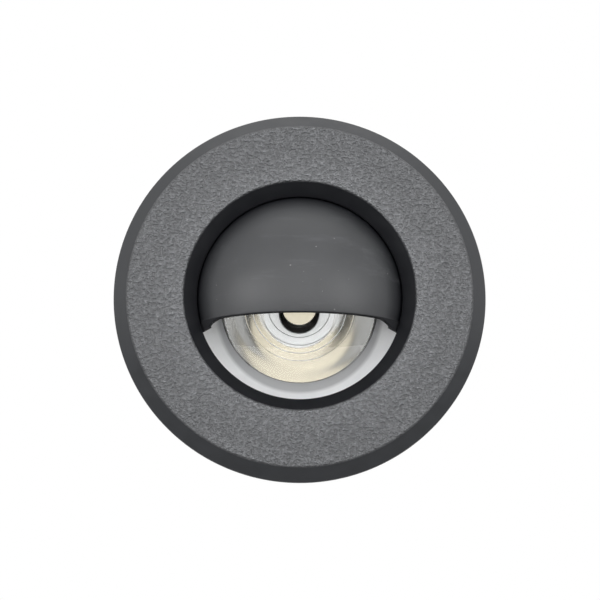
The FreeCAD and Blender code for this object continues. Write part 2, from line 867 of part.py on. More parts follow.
def spring_self_gap():
    """Least gap between one loop of the spring and the next, measured on points of the coil."""
    first = math.pi + math.radians(spring_floor_angle)
    last = 2 * math.pi * spring_loops - math.radians(clip_rest_angle)
    stops = STOPS_PER_LOOP * spring_loops
    places = [spring_point(first + (last - first) * stop / stops, first, last)[0]
              for stop in range(stops + 1)]
    half_loop = int(stops * math.pi / (last - first))
    least = min(places[one].distanceToPoint(places[other])
                for one in range(len(places)) for other in range(one + half_loop, len(places)))
    return least - 2 * spring_wire_radius


def build():
    os.makedirs("parts", exist_ok=True)
    for piece in (wall_gasket, bezel, eyelid_hood, front_seal, optic_holder, optic_seal, collimator,
                  collimator_cup, led_base, led_dome, led_board, thermal_pad, heat_spreader, driver_board,
                  driver_inductor, driver_capacitor, driver_rectifier, driver_chip, supply_terminal, housing,
                  housing_oring, rear_cover, rear_cover_oring, gland_body, gland_washer, gland_insert,
                  gland_nut):
        save(piece.__name__, piece())
    for group in (led_board_screws, led_leads, driver_standoffs, driver_screws, rear_cover_screws):
        save(group.__name__, *group())
    for piece in (clip_arm, clip_pin, clip_spring):
        right = piece()
        save(piece.__name__ + "_right", right)
        save(piece.__name__ + "_left", mirrored(right))
    print("least gap of the clip spring to itself", round(spring_self_gap(), 3), "mm")


build()
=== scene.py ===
import math

import bmesh
import bpy
from bpy.props import FloatProperty, FloatVectorProperty, IntProperty, PointerProperty
from mathutils import Matrix, Vector


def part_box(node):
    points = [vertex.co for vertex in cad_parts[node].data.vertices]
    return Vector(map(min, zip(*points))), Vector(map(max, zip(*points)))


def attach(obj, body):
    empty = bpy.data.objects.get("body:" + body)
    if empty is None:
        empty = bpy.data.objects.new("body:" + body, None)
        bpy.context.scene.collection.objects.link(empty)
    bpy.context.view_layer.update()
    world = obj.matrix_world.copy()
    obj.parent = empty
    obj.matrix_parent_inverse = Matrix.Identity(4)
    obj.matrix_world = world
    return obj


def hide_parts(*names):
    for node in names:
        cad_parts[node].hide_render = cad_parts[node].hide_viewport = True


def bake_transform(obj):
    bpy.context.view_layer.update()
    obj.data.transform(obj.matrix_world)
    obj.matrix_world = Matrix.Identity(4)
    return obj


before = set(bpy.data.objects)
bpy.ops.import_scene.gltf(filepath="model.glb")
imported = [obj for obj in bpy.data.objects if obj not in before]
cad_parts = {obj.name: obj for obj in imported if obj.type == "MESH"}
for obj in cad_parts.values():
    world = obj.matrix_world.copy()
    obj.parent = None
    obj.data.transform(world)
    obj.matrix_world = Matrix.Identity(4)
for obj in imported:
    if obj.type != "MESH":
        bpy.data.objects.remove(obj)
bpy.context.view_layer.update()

bl_info = {
    "name": "Eyelid path light",
    "version": (1, 0, 0),
    "blender": (4, 5, 0),
    "location": "3D View > Sidebar > Path light",
    "description": "Dresses the packed path light: coated front, clear optic, cast body, gland and clips",
    "category": "Object",
}

# A station is a distance in front of the wall, so a point at station s has y = -s. Lengths are metres.
MM = 0.001
SAME_POINT = 1e-7
# Points of a CAD mesh that are this close are welded
WELD = 1e-6
SIXTH = math.pi / 3
BLACK = (0.0, 0.0, 0.0)
WHITE = (1.0, 1.0, 1.0)
# Most values of a noise lie between these two
NOISE_SPAN = (0.3, 0.7)

# How finely curved forms are cut
ARC_STEPS = 6
CORNER_STEPS = 48
FLANK_POINTS = 12
HOOD_COLUMNS = 200
HOOD_ROWS = 44
LOOP_STEPS = 40
WIRE_FACETS = 14
SCREW_FACETS = 48
QUARTER_STEPS = 24
# Sine and cosine along a quarter turn
QUARTER = [(math.sin(math.pi / 2 * step / QUARTER_STEPS), math.cos(math.pi / 2 * step / QUARTER_STEPS))
           for step in range(QUARTER_STEPS + 1)]

# Broken edges, and the gaps between pieces
EASE = 0.15 * MM
FINE_EASE = 0.1 * MM
FIT_GAP = 0.1 * MM
TURN_GAP = 0.06 * MM
LIP_GAP = 0.05 * MM
# Width and thickness of the hood's flange behind the lip
FLANGE = 0.7 * MM

# Socket screws of the rear cover
SCREW_COUNT = 4
SCREW_CIRCLE = 21.0 * MM
SCREW_FIRST_ANGLE = math.radians(45.0)
SCREW_RADIUS = 2.2 * MM
SCREW_HEIGHT = 1.5 * MM
SOCKET_WIDTH = 2.0 * MM
SOCKET_DEPTH = 0.8 * MM

# Legs of a clip spring, and how far each leans from the direction of the light's axis
BODY_LEG = 5.0 * MM
BODY_LEG_LEAN = math.radians(6.0)
ARM_LEG = 9.0 * MM
ARM_LEG_LEAN = math.radians(12.0)

# Roughness of the optic's front and flank, and what its rear adds to the flank's
FRONT_HAZE = 0.01
FLANK_HAZE = 0.13
REAR_HAZE = 0.3
# Each swell of the optic's flank: height, count round the axis, start angle, count along the flank
FLANK_SWELLS = ((0.05 * MM, 1, 1.6, 2), (0.03 * MM, 2, 0.6, 4))

# Each lamp: name, place, width and height, power, spread in degrees
LAMPS = (
    ("front_lamp", (0.0, -1.3, 0.48), (2.8, 1.3), 10.3, 140.0),
    ("low_lamp", (0.0, -1.4, -0.02), (3.2, 0.26), 3.1, 140.0),
    ("top_lamp", (0.0, -0.1, 1.3), (1.4, 1.4), 3.8, 180.0),
    ("left_lamp", (-1.2, -0.9, 0.1), (0.9, 0.9), 8.6, 180.0),
    ("right_lamp", (1.2, -0.9, 0.1), (0.9, 0.9), 7.6, 180.0),
    ("rear_lamp", (0.3, 1.4, 0.6), (1.2, 1.2), 7.0, 180.0),
)
# The floor's half width, and where it starts to fade into the white room
FLOOR_REACH = 3.0
FLOOR_FADE = 0.8


def outer_radius(node):
    """Radius of a turned CAD node."""
    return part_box(node)[1].x


def front_of(node):
    """Station of a CAD node's front end."""
    return -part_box(node)[0].y


def back_of(node):
    """Station of a CAD node's rear end."""
    return -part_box(node)[1].y


def extent(node):
    """Radius, front station and rear station of a turned CAD node."""
    return outer_radius(node), front_of(node), back_of(node)


def length(name, description, millimetres):
    """A size that a user may change."""
    return FloatProperty(name=name, description=description, default=millimetres * MM, min=0.0, precision=5,
                         subtype="DISTANCE", unit="LENGTH")


def count(name, description, default, least=0):
    """A number of things that a user may change."""
    return IntProperty(name=name, description=description, default=default, min=least)


def colour(name, description, default):
    """A linear colour that a user may change."""
    return FloatVectorProperty(name=name, description=description, default=default, size=3, min=0.0, max=1.0,
                               subtype="COLOR")


def angle(name, description, degrees):
    """An angle that a user may change."""
    return FloatProperty(name=name, description=description, default=math.radians(degrees), subtype="ANGLE",
                         unit="ROTATION")


def place(name, description, default):
    """A place along a direction, or a distance, that a user may change."""
    return FloatProperty(name=name, description=description, default=default, unit="LENGTH")


class PathLightSizes(bpy.types.PropertyGroup):
    """Sizes of the dressed pieces; those that the frame can give come from it."""
    turns: count("Facets round", "Facets round each turned piece", 192, 24)
    lip_radius: length("Lip radius", "Opening that the eyelid stands in", 16.6)
    lip_front: length("Lip front", "Station of the lip's front", 2.05)
    lip_back: length("Lip back", "Station of the lip's back", 1.55)
    throat_flare: length("Throat flare", "How much wider the throat is at the face", 2.2)
    bezel_chamfer: length("Bezel chamfer", "Width of the outer chamfer", 2.35)
    bezel_round: length("Bezel rounding", "Radius on the bezel's coated edges", 0.3)
    collar_radius: length("Collar radius", "Threaded collar behind the bezel", 21.0)
    hood_radius: length("Hood radius", "Neck of the half dome", 16.3)
    hood_wall: length("Hood wall", "Thickness of the half dome", 1.3)
    hood_edge: length("Hood edge", "Drop of the hood's straight edge below the axis", 4.0)
    hood_foot: length("Hood foot", "Further drop at the two ends of the edge", 1.5)
    hood_foot_inset: length("Hood foot inset", "Width of the rounded end of the edge", 4.1)
    hood_corner: length("Hood corner", "Radius of the rounded end of the edge", 3.2)
    hood_edge_round: length("Hood edge rounding", "Radius on the hood's edge", 0.12)
    window_radius: length("Window radius", "Opening of the satin ring in front of the optic", 12.75)
    neck_radius: length("Optic neck", "Radius of the optic at its rear", 6.0)
    flank_radius: length("Optic flank", "Radius of the optic under its rim", 12.35)
    well_radius: length("LED well", "Radius of the well in the optic's rear", 2.4)
    well_depth: length("LED well depth", "Depth of the well in the optic's rear", 5.0)
    well_crown: length("LED well crown", "Bulge of the well's end towards the LED", 0.3)
    button_radius: length("Button radius", "Round lens in the middle of the optic", 2.95)
    button_height: length("Button height", "Rise of the round lens", 0.5)
    button_foot: length("Button foot", "Width over which the round lens runs out into the flat", 0.3)
    gland_thread: length("Gland thread", "Radius of the gland's threaded stem", 6.0)
    gland_bore: length("Gland bore", "Radius of the gland's cable bore", 4.6)
    gland_gap: length("Gland gap", "Gap between the gland's collar and its cap", 0.5)
    gland_round: length("Gland rounding", "Broken edges of the gland", 0.3)
    gland_mouth: length("Gland mouth", "Radius of the hole in the gland's cap", 3.6)
    gland_cap_end: length("Gland cap end", "Width of the cap's rounding past its flat end", 1.5)
    gland_cap_dome: length("Gland cap dome", "Depth of the cap's rounded end", 3.0)
    flank_steps: count("Flank steps", "Steps along the optic's flank", 2, 1)
    flank_step: length("Flank step", "Height of a step in the optic's flank", 0.3)
    ring_pitch: length("Ring pitch", "Spacing of the fine rings in the optic's front", 1.29)
    ring_first: count("First ring", "Pitches from the axis to the first fine ring", 4)
    ring_count: count("Rings", "Fine rings in the optic's front", 4)
    ring_width: length("Ring width", "Width of a fine ring", 0.14)
    ring_depth: length("Ring depth", "Depth of a fine ring", 0.06)
    spring_wire: length("Spring wire", "Radius of the clip springs' wire", 0.3)
    spring_radius: length("Spring radius", "Radius of the clip springs' loops", 1.4)
    spring_pitch: length("Spring pitch", "Rise of one loop of a clip spring", 1.1)
    spring_loops: count("Spring loops", "Loops of a clip spring", 4, 1)


class PathLightColours(bpy.types.PropertyGroup):
    """Main colours of the finishes."""
    coat: colour("Coat", "Black coat of bezel and eyelid", (0.0475, 0.049, 0.052))
    # Painted sheen: this grey stands for the light that the black coat's ripples catch
    coat_grain_sheen: colour("Coat grain", "Raised grains of the bezel's coat", (0.158, 0.162, 0.169))
    chamfer: colour("Chamfer", "Smooth coat on the bezel's chamfer", (0.018, 0.0195, 0.0225))
    # Near-black painted shade, used in the bezel's throat and at the hood's limb and lower edge
    throat: colour("Throat", "Smooth inside of the bezel", (0.0055, 0.006, 0.008))
    casting: colour("Casting", "Coated casting of the body", (0.03, 0.03, 0.032))
    satin: colour("Satin metal", "Blasted ring round the optic", (0.945, 0.955, 0.975))
    phosphor: colour("Phosphor", "Dome of the LED", (0.86, 0.79, 0.62))
    steel: colour("Spring steel", "Clips and their springs", (0.56, 0.56, 0.57))
    rubber: colour("Rubber", "Seals and cable insert", (0.016, 0.016, 0.017))
    nylon: colour("Nylon", "Cable gland", (0.022, 0.022, 0.024))


class PathLightStage(bpy.types.PropertyGroup):
    """Camera, floor and room."""
    azimuth: angle("Azimuth", "Camera's turn to the right of the front", -0.4)
    elevation: angle("Elevation", "Camera's height above the axis", -10.4)
    distance: place("Distance", "Camera's distance", 0.42)
    lens: FloatProperty(name="Lens", description="Focal length in millimetres", default=155.6)
    aim_right: place("Aim right", "Sideways place of the aim", 0.06 * MM)
    aim_up: place("Aim up", "Upright place of the aim", -0.1 * MM)
    floor: place("Floor", "Height of the floor", -0.16)
    ambient: FloatProperty(name="Ambient", description="Strength of the room's light", default=0.25, min=0.0)


# Nodes

class Nodes:
    """Adds nodes to a tree. What feeds a node is a socket of the tree or a plain value."""

    def __init__(self, tree):
        self.tree = tree

    def add(self, kind, sources=None, **settings):
        """The outputs of a new node with its settings, fed by sources given by socket number or name."""
        node = self.tree.nodes.new(kind)
        for key, value in settings.items():
            setattr(node, key, value)
        for socket, source in (sources or {}).items():
            if isinstance(source, bpy.types.NodeSocket):
                self.tree.links.new(source, node.inputs[socket])
            else:
                node.inputs[socket].default_value = source
        return node.outputs

    def maths(self, operation, *values):
        """The result of one sum."""
        return self.add("ShaderNodeMath", dict(enumerate(values)), operation=operation)[0]

    def ranged(self, mask, low, high, start=0.0, end=1.0):
        """A value between two, by a mask."""
        return self.add("ShaderNodeMapRange", {"Value": mask, "From Min": start, "From Max": end,
                                               "To Min": low, "To Max": high})[0]

    def noise(self, where, scale, **values):
        """Noise over a place."""
        return self.add("ShaderNodeTexNoise", {"Vector": where, "Scale": scale, **values})[0]

    def mapped(self, where, **values):
        """A place that is turned or stretched."""
        return self.add("ShaderNodeMapping", {"Vector": where, **values})[0]

    def distance(self, where):
        """Distance from the origin."""
        return self.add("ShaderNodeVectorMath", {0: where}, operation="LENGTH")["Value"]

    def axis_distance(self, where):
        """Distance from the light's axis."""
        return self.distance(self.add("ShaderNodeVectorMath", {0: where, 1: (1.0, 0.0, 1.0)},
                                      operation="MULTIPLY")[0])


def node_group(name, kind, inputs, outputs, build):
    """A node group, made once. An input has a socket type, or the number that it starts from."""
    if name in bpy.data.node_groups:
        return bpy.data.node_groups[name]
    group = bpy.data.node_groups.new(name, kind)
    for label, start in inputs.items():
        is_number = isinstance(start, float)
        socket = group.interface.new_socket(label, in_out="INPUT",
                                            socket_type="NodeSocketFloat" if is_number else start)
        if is_number:
            socket.default_value = start
    for label, socket_type in outputs.items():
        group.interface.new_socket(label, in_out="OUTPUT", socket_type=socket_type)
    nodes = Nodes(group)
    made = build(nodes, nodes.add("NodeGroupInput"))
    nodes.add("NodeGroupOutput", dict(zip(outputs, made)))
    return group


# Meshes

def rounded_outline(corners):
    """Points along a closed outline of (radius, station[, rounding]) corners.

    A point close to each arc keeps its shading off the flats.
    """
    flat = [Vector(corner[:2]) for corner in corners]
    points = []
    for number, corner in enumerate(corners):
        here = flat[number]
        if len(corner) < 3:
            points.append(here)
            continue
        before = flat[number - 1] - here
        after = flat[(number + 1) % len(flat)] - here
        half = before.angle(after) / 2
        before.normalize()
        after.normalize()
        reach = corner[2] / math.tan(half)
        guard = reach * 0.25
        start = here + before * reach
        end = here + after * reach
        centre = here + (before + after).normalized() * (corner[2] / math.sin(half))
        spoke = start - centre
        sweep = spoke.angle_signed(end - centre)
        points.append(start + before * guard)
        for step in range(ARC_STEPS + 1):
            sine = math.sin(-sweep * step / ARC_STEPS)
            cosine = math.cos(-sweep * step / ARC_STEPS)
            turned_spoke = (spoke.x * cosine - spoke.y * sine, spoke.x * sine + spoke.y * cosine)
            points.append(centre + Vector(turned_spoke))
        points.append(end + after * guard)
    return [(point.x, point.y) for point in points]


def cap_points(width, top, height, steps=16):
    """Points of a round cap from the axis out to its half width; a negative height makes it hollow."""
    radius = (width ** 2 + height ** 2) / (2 * height)
    points = []
    for step in range(steps + 1):
        out = width * step / steps
        points.append((out, top - radius + math.copysign(math.sqrt(radius ** 2 - out ** 2), height)))
    return points


def growth_tree(name, inputs, build):
    """A Geometry Nodes group that makes what is built real and gives it its material."""
    def whole(nodes, given):
        real = nodes.add("GeometryNodeRealizeInstances", {0: build(nodes, given)})[0]
        return nodes.add("GeometryNodeSetMaterial", {"Geometry": real, "Material": given["Material"]})

    sockets = {"Geometry": "NodeSocketGeometry", **inputs, "Material": "NodeSocketMaterial"}
    return node_group(name, "GeometryNodeTree", sockets, {"Geometry": "NodeSocketGeometry"}, whole)


def turning_tree():
    """Turns an outline of points about the light's axis."""
    def build(nodes, given):
        outline = given["Geometry"]
        facets = given["Facets round"]
        size = nodes.add("GeometryNodeAttributeDomainSize", {0: outline}, component="MESH")
        columns = nodes.maths("ADD", facets, 1.0)
        grid = nodes.add("GeometryNodeMeshGrid", {"Vertices X": size["Point Count"], "Vertices Y": columns})
        index = nodes.add("GeometryNodeInputIndex")[0]
        row = nodes.maths("FLOOR", nodes.maths("DIVIDE", index, columns))
        share = nodes.maths("DIVIDE", nodes.maths("MODULO", index, columns), facets)
        here = nodes.add("GeometryNodeInputPosition")[0]
        point = nodes.add("GeometryNodeSampleIndex", {"Geometry": outline, "Value": here, "Index": row},
                          data_type="FLOAT_VECTOR", domain="POINT")[0]
        turn = nodes.add("ShaderNodeVectorRotate", {"Vector": point, "Axis": (0.0, 1.0, 0.0),
                                                    "Angle": nodes.maths("MULTIPLY", share, 2 * math.pi)},
                         rotation_type="AXIS_ANGLE")[0]
        moved = nodes.add("GeometryNodeSetPosition", {"Geometry": grid["Mesh"], "Position": turn})[0]
        return nodes.add("GeometryNodeMergeByDistance", {"Geometry": moved, "Distance": SAME_POINT})[0]

    return growth_tree("Turned about the axis", {"Facets round": "NodeSocketInt"}, build)


def wire_tree():
    """Lays a round wire along a path."""
    def build(nodes, given):
        path = nodes.add("GeometryNodeMeshToCurve", {0: given["Geometry"]})[0]
        section = nodes.add("GeometryNodeCurvePrimitiveCircle", {"Resolution": given["Facets round"],
                                                                 "Radius": given["Wire radius"]})[0]
        return nodes.add("GeometryNodeCurveToMesh", {"Curve": path, "Profile Curve": section,
                                                     "Fill Caps": True})[0]

    return growth_tree("Wire along a path", {"Wire radius": "NodeSocketFloat",
                                             "Facets round": "NodeSocketInt"}, build)


def screw_tree():
    """Sets one screw at evenly spaced places round the light's axis."""
    def build(nodes, given):
        circle = nodes.add("GeometryNodeMeshCircle", {"Vertices": given["Count"],
                                                      "Radius": given["Circle radius"]})[0]
        lean = nodes.add("ShaderNodeCombineXYZ", {0: math.pi / 2, 1: given["First angle"]})[0]
        placed = nodes.add("GeometryNodeTransform", {"Geometry": circle, "Rotation": lean})[0]
        return nodes.add("GeometryNodeInstanceOnPoints", {"Points": placed, "Instance": given["Geometry"]})[0]

    return growth_tree("Screws on a circle", {"Count": "NodeSocketInt", "Circle radius": "NodeSocketFloat",
                                              "First angle": "NodeSocketFloat"}, build)


def linked(name, data):
    """A new object in the scene."""
    item = bpy.data.objects.new(name, data)
    bpy.context.scene.collection.objects.link(item)
    return item


def settled(carrier):
    """The evaluated mesh of a helper object, which is removed with its own mesh."""
    graph = bpy.context.evaluated_depsgraph_get()
    mesh = bpy.data.meshes.new_from_object(carrier.evaluated_get(graph), preserve_all_data_layers=True,
                                           depsgraph=graph)
    used = carrier.data
    bpy.data.objects.remove(carrier)
    bpy.data.meshes.remove(used)
    return mesh


def grown(mesh, tree, values):
    """The plain mesh that a tree makes from a mesh, with the tree's inputs set by name."""
    carrier = linked("growing", mesh)
    modifier = carrier.modifiers.new("Growth", "NODES")
    modifier.node_group = tree
    for item in tree.interface.items_tree:
        if item.in_out == "INPUT" and item.name in values:
            modifier[item.identifier] = values[item.name]
    return painted(settled(carrier), values["Material"])


def painted(mesh, material):
    """The mesh with one material on all its faces."""
    mesh.materials.clear()
    mesh.materials.append(material)
    mesh.polygons.foreach_set("material_index", [0] * len(mesh.polygons))
    return mesh


def smoothed(mesh, sharp_degrees=35.0):
    """The mesh with its faces outwards, shaded smooth up to an angle."""
    edit = bmesh.new()
    edit.from_mesh(mesh)
    bmesh.ops.remove_doubles(edit, verts=edit.verts, dist=SAME_POINT)
    bmesh.ops.recalc_face_normals(edit, faces=edit.faces)
    edit.to_mesh(mesh)
    edit.free()
    mesh.shade_smooth()
    mesh.set_sharp_from_angle(angle=math.radians(sharp_degrees))
    return mesh


def path_mesh(points):
    """A mesh of one open path."""
    mesh = bpy.data.meshes.new("path")
    mesh.from_pydata(points, [(number, number + 1) for number in range(len(points) - 1)], [])
    return mesh


def turned(corners, material, turns, is_closed=True):
    """A piece turned about the light's axis; an open outline starts and ends on the axis."""
    outline = rounded_outline(corners)
    points = outline + outline[:1] if is_closed else outline
    path = path_mesh([(radius, -station, 0.0) for radius, station in points])
    return smoothed(grown(path, turning_tree(), {"Facets round": turns, "Material": material}))


def formed(edit, name):
    """A new mesh from an edit, which is freed."""
    mesh = bpy.data.meshes.new(name)
    edit.to_mesh(mesh)
    edit.free()
    return mesh


def lofted(edit, rings, is_flipped=False):
    """Join each ring of points to the next with faces, wound backwards if flipped, and close both ends."""
    for near, far in zip(rings, rings[1:]):
        for number in range(len(near)):
            following = (number + 1) % len(near)
            face = (near[number], far[number], far[following], near[following])
            edit.faces.new(face[:1] + face[:0:-1] if is_flipped else face)
    edit.faces.new(rings[0])
    edit.faces.new(rings[-1][::-1])


def merged(meshes, material):
    """One mesh from several of one material."""
    edit = bmesh.new()
    for mesh in meshes:
        edit.from_mesh(mesh)
        bpy.data.meshes.remove(mesh)
    whole = formed(edit, "merged")
    whole.materials.append(material)
    return whole


def eased(node, material):
    """A copy of a CAD node's mesh with its sharp edges broken."""
    edit = bmesh.new()
    edit.from_mesh(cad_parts[node].data)
    bmesh.ops.remove_doubles(edit, verts=edit.verts, dist=WELD)
    bmesh.ops.dissolve_limit(edit, angle_limit=math.radians(0.5), verts=edit.verts, edges=edit.edges,
                             use_dissolve_boundaries=False)
    clean = formed(edit, "eased")
    clean.materials.append(material)
    clean.shade_smooth()
    carrier = linked("easing", clean)
    bevel = carrier.modifiers.new("Broken edges", "BEVEL")
    bevel.width = EASE
    bevel.segments = 2
    bevel.limit_method = "ANGLE"
    bevel.angle_limit = math.radians(30.0)
    bevel.use_clamp_overlap = False
    bevel.harden_normals = True
    return settled(carrier)


def copied(node, material):
    """A copy of a CAD node's mesh, shaded so that its flat faces look flat."""
    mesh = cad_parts[node].data.copy()
    carrier = linked("shading", painted(smoothed(mesh, 30.0), material))
    weighting = carrier.modifiers.new("Flat faces", "WEIGHTED_NORMAL")
    weighting.keep_sharp = True
    weighting.weight = 100
    return settled(carrier)


def hexed(mesh, width, ease):
    """The turned mesh, pressed to a hexagon of a width across its flats, with eased corners."""
    reach = width / math.sqrt(3) - ease
    for vertex in mesh.vertices:
        x, y, z = vertex.co
        radius = math.hypot(x, z)
        if radius < width / 2 - ease:
            continue
        lean = math.atan2(z, x) % SIXTH - SIXTH / 2
        limit = min(width / 2 / math.cos(lean), reach)
        near = max(ease - abs(radius - limit), 0.0) / ease
        pressed = min(radius, limit) - near ** 2 * ease / 4
        vertex.co = (x * pressed / radius, y, z * pressed / radius)
    mesh.update()
    return smoothed(mesh, 50.0)


def socket_screw():
    """A socket screw's head at the origin, its top facing the rear."""
    edit = bmesh.new()

    def ring(along, radius, is_hexagon=False):
        points = []
        for number in range(SCREW_FACETS):
            turn = 2 * math.pi * number / SCREW_FACETS
            lean = (turn + SIXTH / 2) % SIXTH - SIXTH / 2
            out = radius / math.cos(lean) if is_hexagon else radius
            points.append(edit.verts.new((out * math.cos(turn), along, out * math.sin(turn))))
        return points

    lofted(edit, [ring(-SCREW_HEIGHT, SCREW_RADIUS), ring(-EASE, SCREW_RADIUS),
                  ring(-EASE * 0.3, SCREW_RADIUS - EASE * 0.3), ring(0.0, SCREW_RADIUS - EASE),
                  ring(0.0, SOCKET_WIDTH * 1.12 / 2, True), ring(-EASE * 0.5, SOCKET_WIDTH / 2, True),
                  ring(-SOCKET_DEPTH, SOCKET_WIDTH / 2, True)], is_flipped=True)
    bmesh.ops.recalc_face_normals(edit, faces=edit.faces)
    return formed(edit, "screw")


def add_piece(name, mesh, body, slot, *nodes):
    """Put a finished piece in the scene, on its body, in place of its CAD nodes."""
    mesh.name = name
    piece = linked(name, mesh)
    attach(piece, body)
    if nodes:
        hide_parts(*nodes)
    return piece


# Finishes

def effect_group(name, inputs, outputs, build):
    """A shader effect over a place, with numbers to set; each output is a mask."""
    return node_group(name, "ShaderNodeTree", {"Vector": "NodeSocketVector", **inputs},
                      dict.fromkeys(outputs, "NodeSocketFloat"), build)


def grain_group():
    """Fine grain of a coat or casting: a height, and a slow change of tone."""
    def build(nodes, given):
        coarse = nodes.noise(given["Vector"], given["Grain"], Detail=2.0, Roughness=0.55)
        cloud = nodes.noise(given["Vector"], given["Cloud"], Detail=4.0, Roughness=0.6)
        return nodes.ranged(coarse, 0.0, 1.0, 0.35, 0.72), cloud

    return effect_group("Surface grain", {"Grain": 1200.0, "Cloud": 60.0}, ["Height", "Tone"], build)


def turning_group():
    """Fine lines left by turning, round the light's axis."""
    def build(nodes, given):
        radius = nodes.axis_distance(given["Vector"])
        lines = nodes.add("ShaderNodeTexNoise", {"W": radius, "Scale": given["Lines"], "Detail": 3.0,
                                                 "Roughness": 0.7}, noise_dimensions="1D")[0]
        return lines, nodes.noise(given["Vector"], 90.0, Detail=3.0)

    return effect_group("Turning lines", {"Lines": 4000.0}, ["Height", "Tone"], build)


def dust_group():
    """Scattered specks of dust."""
    def build(nodes, given):
        cells = nodes.add("ShaderNodeTexVoronoi", {"Vector": given["Vector"], "Scale": given["Spacing"]})
        chance = nodes.add("ShaderNodeSeparateColor", {0: cells["Color"]})
        chosen = nodes.maths("GREATER_THAN", chance[1], given["Rarity"])
        size = nodes.maths("MULTIPLY", chance[0], given["Size"])
        inside = nodes.maths("LESS_THAN", cells["Distance"], size)
        return [nodes.maths("MULTIPLY", chosen, inside)]

    return effect_group("Dust specks", {"Spacing": 220.0, "Size": 0.06, "Rarity": 0.75}, ["Mask"], build)


def scuff_group():
    """Faint rubbed streaks."""
    def build(nodes, given):
        drawn = nodes.mapped(given["Vector"], Rotation=(0.3, 0.5, 0.2), Scale=(0.35, 1.0, 2.4))
        streaks = nodes.noise(drawn, given["Scale"], Detail=5.0, Roughness=0.65)
        return [nodes.ranged(streaks, 0.0, 1.0, 0.58, 0.76)]

    return effect_group("Rubbed streaks", {"Scale": 160.0}, ["Mask"], build)


def scaled(base, factor):
    """A colour made lighter or darker."""
    return tuple(min(1.0, channel * factor) for channel in base)


class Finish(Nodes):
    """A material in the making, with a Principled shader whose plain values are set on its own sockets."""

    def __init__(self, name, **plain):
        self.material = bpy.data.materials.new(name)
        self.material.use_nodes = True
        super().__init__(self.material.node_tree)
        self.shader = self.tree.nodes["Principled BSDF"]
        for socket, value in plain.items():
            self.shader.inputs[socket.replace("_", " ")].default_value = value
        self.place = self.add("ShaderNodeTexCoord")["Object"]

    def effect(self, group, where=None, **values):
        """The outputs of an effect with its own values, over the piece or over another place."""
        source = self.place if where is None else where
        return self.add("ShaderNodeGroup", {"Vector": source, **values}, node_tree=group)

    def along(self, axis):
        """Where a point lies along an axis."""
        return self.add("ShaderNodeSeparateXYZ", {0: self.place})[axis]

    def blended(self, mask, low, high):
        """A colour between two, by a mask; either may be a socket."""
        ends = [end if isinstance(end, bpy.types.NodeSocket) else (*end, 1.0) for end in (low, high)]
        return self.add("ShaderNodeMix", {"Factor": mask, 6: ends[0], 7: ends[1]}, data_type="RGBA")[2]

    def toned(self, mask, base, low, high):
        """A colour times a factor between two, by a mask."""
        return self.blended(mask, scaled(base, low), scaled(base, high))

    def uneven(self, mask, low, high):
        """A value between two, by a noise."""
        return self.ranged(mask, low, high, *NOISE_SPAN)

    def feed(self, **sources):
        """Feed the shader's sockets."""
        for socket, source in sources.items():
            self.tree.links.new(source, self.shader.inputs[socket.replace("_", " ")])

    def emboss(self, height, depth):
        """Relief of the given depth from a height."""
        bump = self.add("ShaderNodeBump", {"Height": height, "Distance": depth, "Strength": 1.0})
        self.feed(Normal=bump[0])

    def grain(self, base, roughness, grain, depth, spread, gloss_spread=0.08):
        """Grain, cloudy tone and uneven gloss; gives the colour that it makes."""
        effect = self.effect(grain_group(), Grain=grain)
        toned = self.toned(effect["Tone"], base, 1 - spread, 1 + spread)
        self.feed(Base_Color=toned,
                  Roughness=self.uneven(effect["Tone"], roughness - gloss_spread, roughness + gloss_spread))
        self.emboss(effect["Height"], depth)
        return toned


def grained_finish(name, base, roughness, grain=900.0, depth=0.02 * MM, spread=0.25, **plain):
    """A painted, moulded or cast finish."""
    finish = Finish(name, **plain)
    finish.grain(base, roughness, grain, depth, spread)
    return finish.material


def painted_glow_finish(name, base, roughness, strength, dark_station):
    """A pale finish with a painted glow, brightest deep in the optic and fading out towards a station in
    front.
    """
    finish = Finish(name, Emission_Strength=strength)
    toned = finish.grain(base, roughness, 1800.0, 0.003 * MM, 0.05, 0.06)
    # Painted glow: the emission fades out towards the front
    painted_glow = finish.ranged(finish.along("Y"), 0.0, 1.0, -dark_station, -dark_station + 2.5 * MM)
    finish.feed(Emission_Color=finish.blended(painted_glow, BLACK, toned))
    return finish.material


def paper_finish(near, far):
    """Pale paper that fades into the white room between two distances."""
    finish = Finish("floor_paper", Emission_Strength=0.6)
    finish.grain((0.62, 0.62, 0.62), 0.85, 300.0, 0.01 * MM, 0.02)
    away = finish.ranged(finish.distance(finish.place), 0.0, 1.0, near, far)
    finish.feed(Emission_Color=finish.blended(away, BLACK, WHITE))
    return finish.material


def turned_finish(name, base, roughness, lines=5000.0):
    """A turned or drawn metal finish."""
    finish = Finish(name, Metallic=1.0)
    effect = finish.effect(turning_group(), Lines=lines)
    finish.feed(Base_Color=finish.toned(effect["Tone"], base, 0.9, 1.08),
                Roughness=finish.uneven(effect["Height"], roughness - 0.06, roughness + 0.08))
    finish.emboss(effect["Height"], 0.004 * MM)
    return finish.material


def brushed_finish(name, base, roughness, along):
    """Sheet metal with brushed lines along one direction."""
    finish = Finish(name, Metallic=1.0)
    lines = finish.noise(finish.mapped(finish.place, Scale=along), 3500.0, Detail=3.0)
    tone = finish.effect(grain_group(), Grain=700.0, Cloud=110.0)["Tone"]
    finish.feed(Base_Color=finish.toned(tone, base, 0.85, 1.1),
                Roughness=finish.uneven(lines, roughness - 0.1, roughness + 0.1))
    finish.emboss(lines, 0.0015 * MM)
    return finish.material


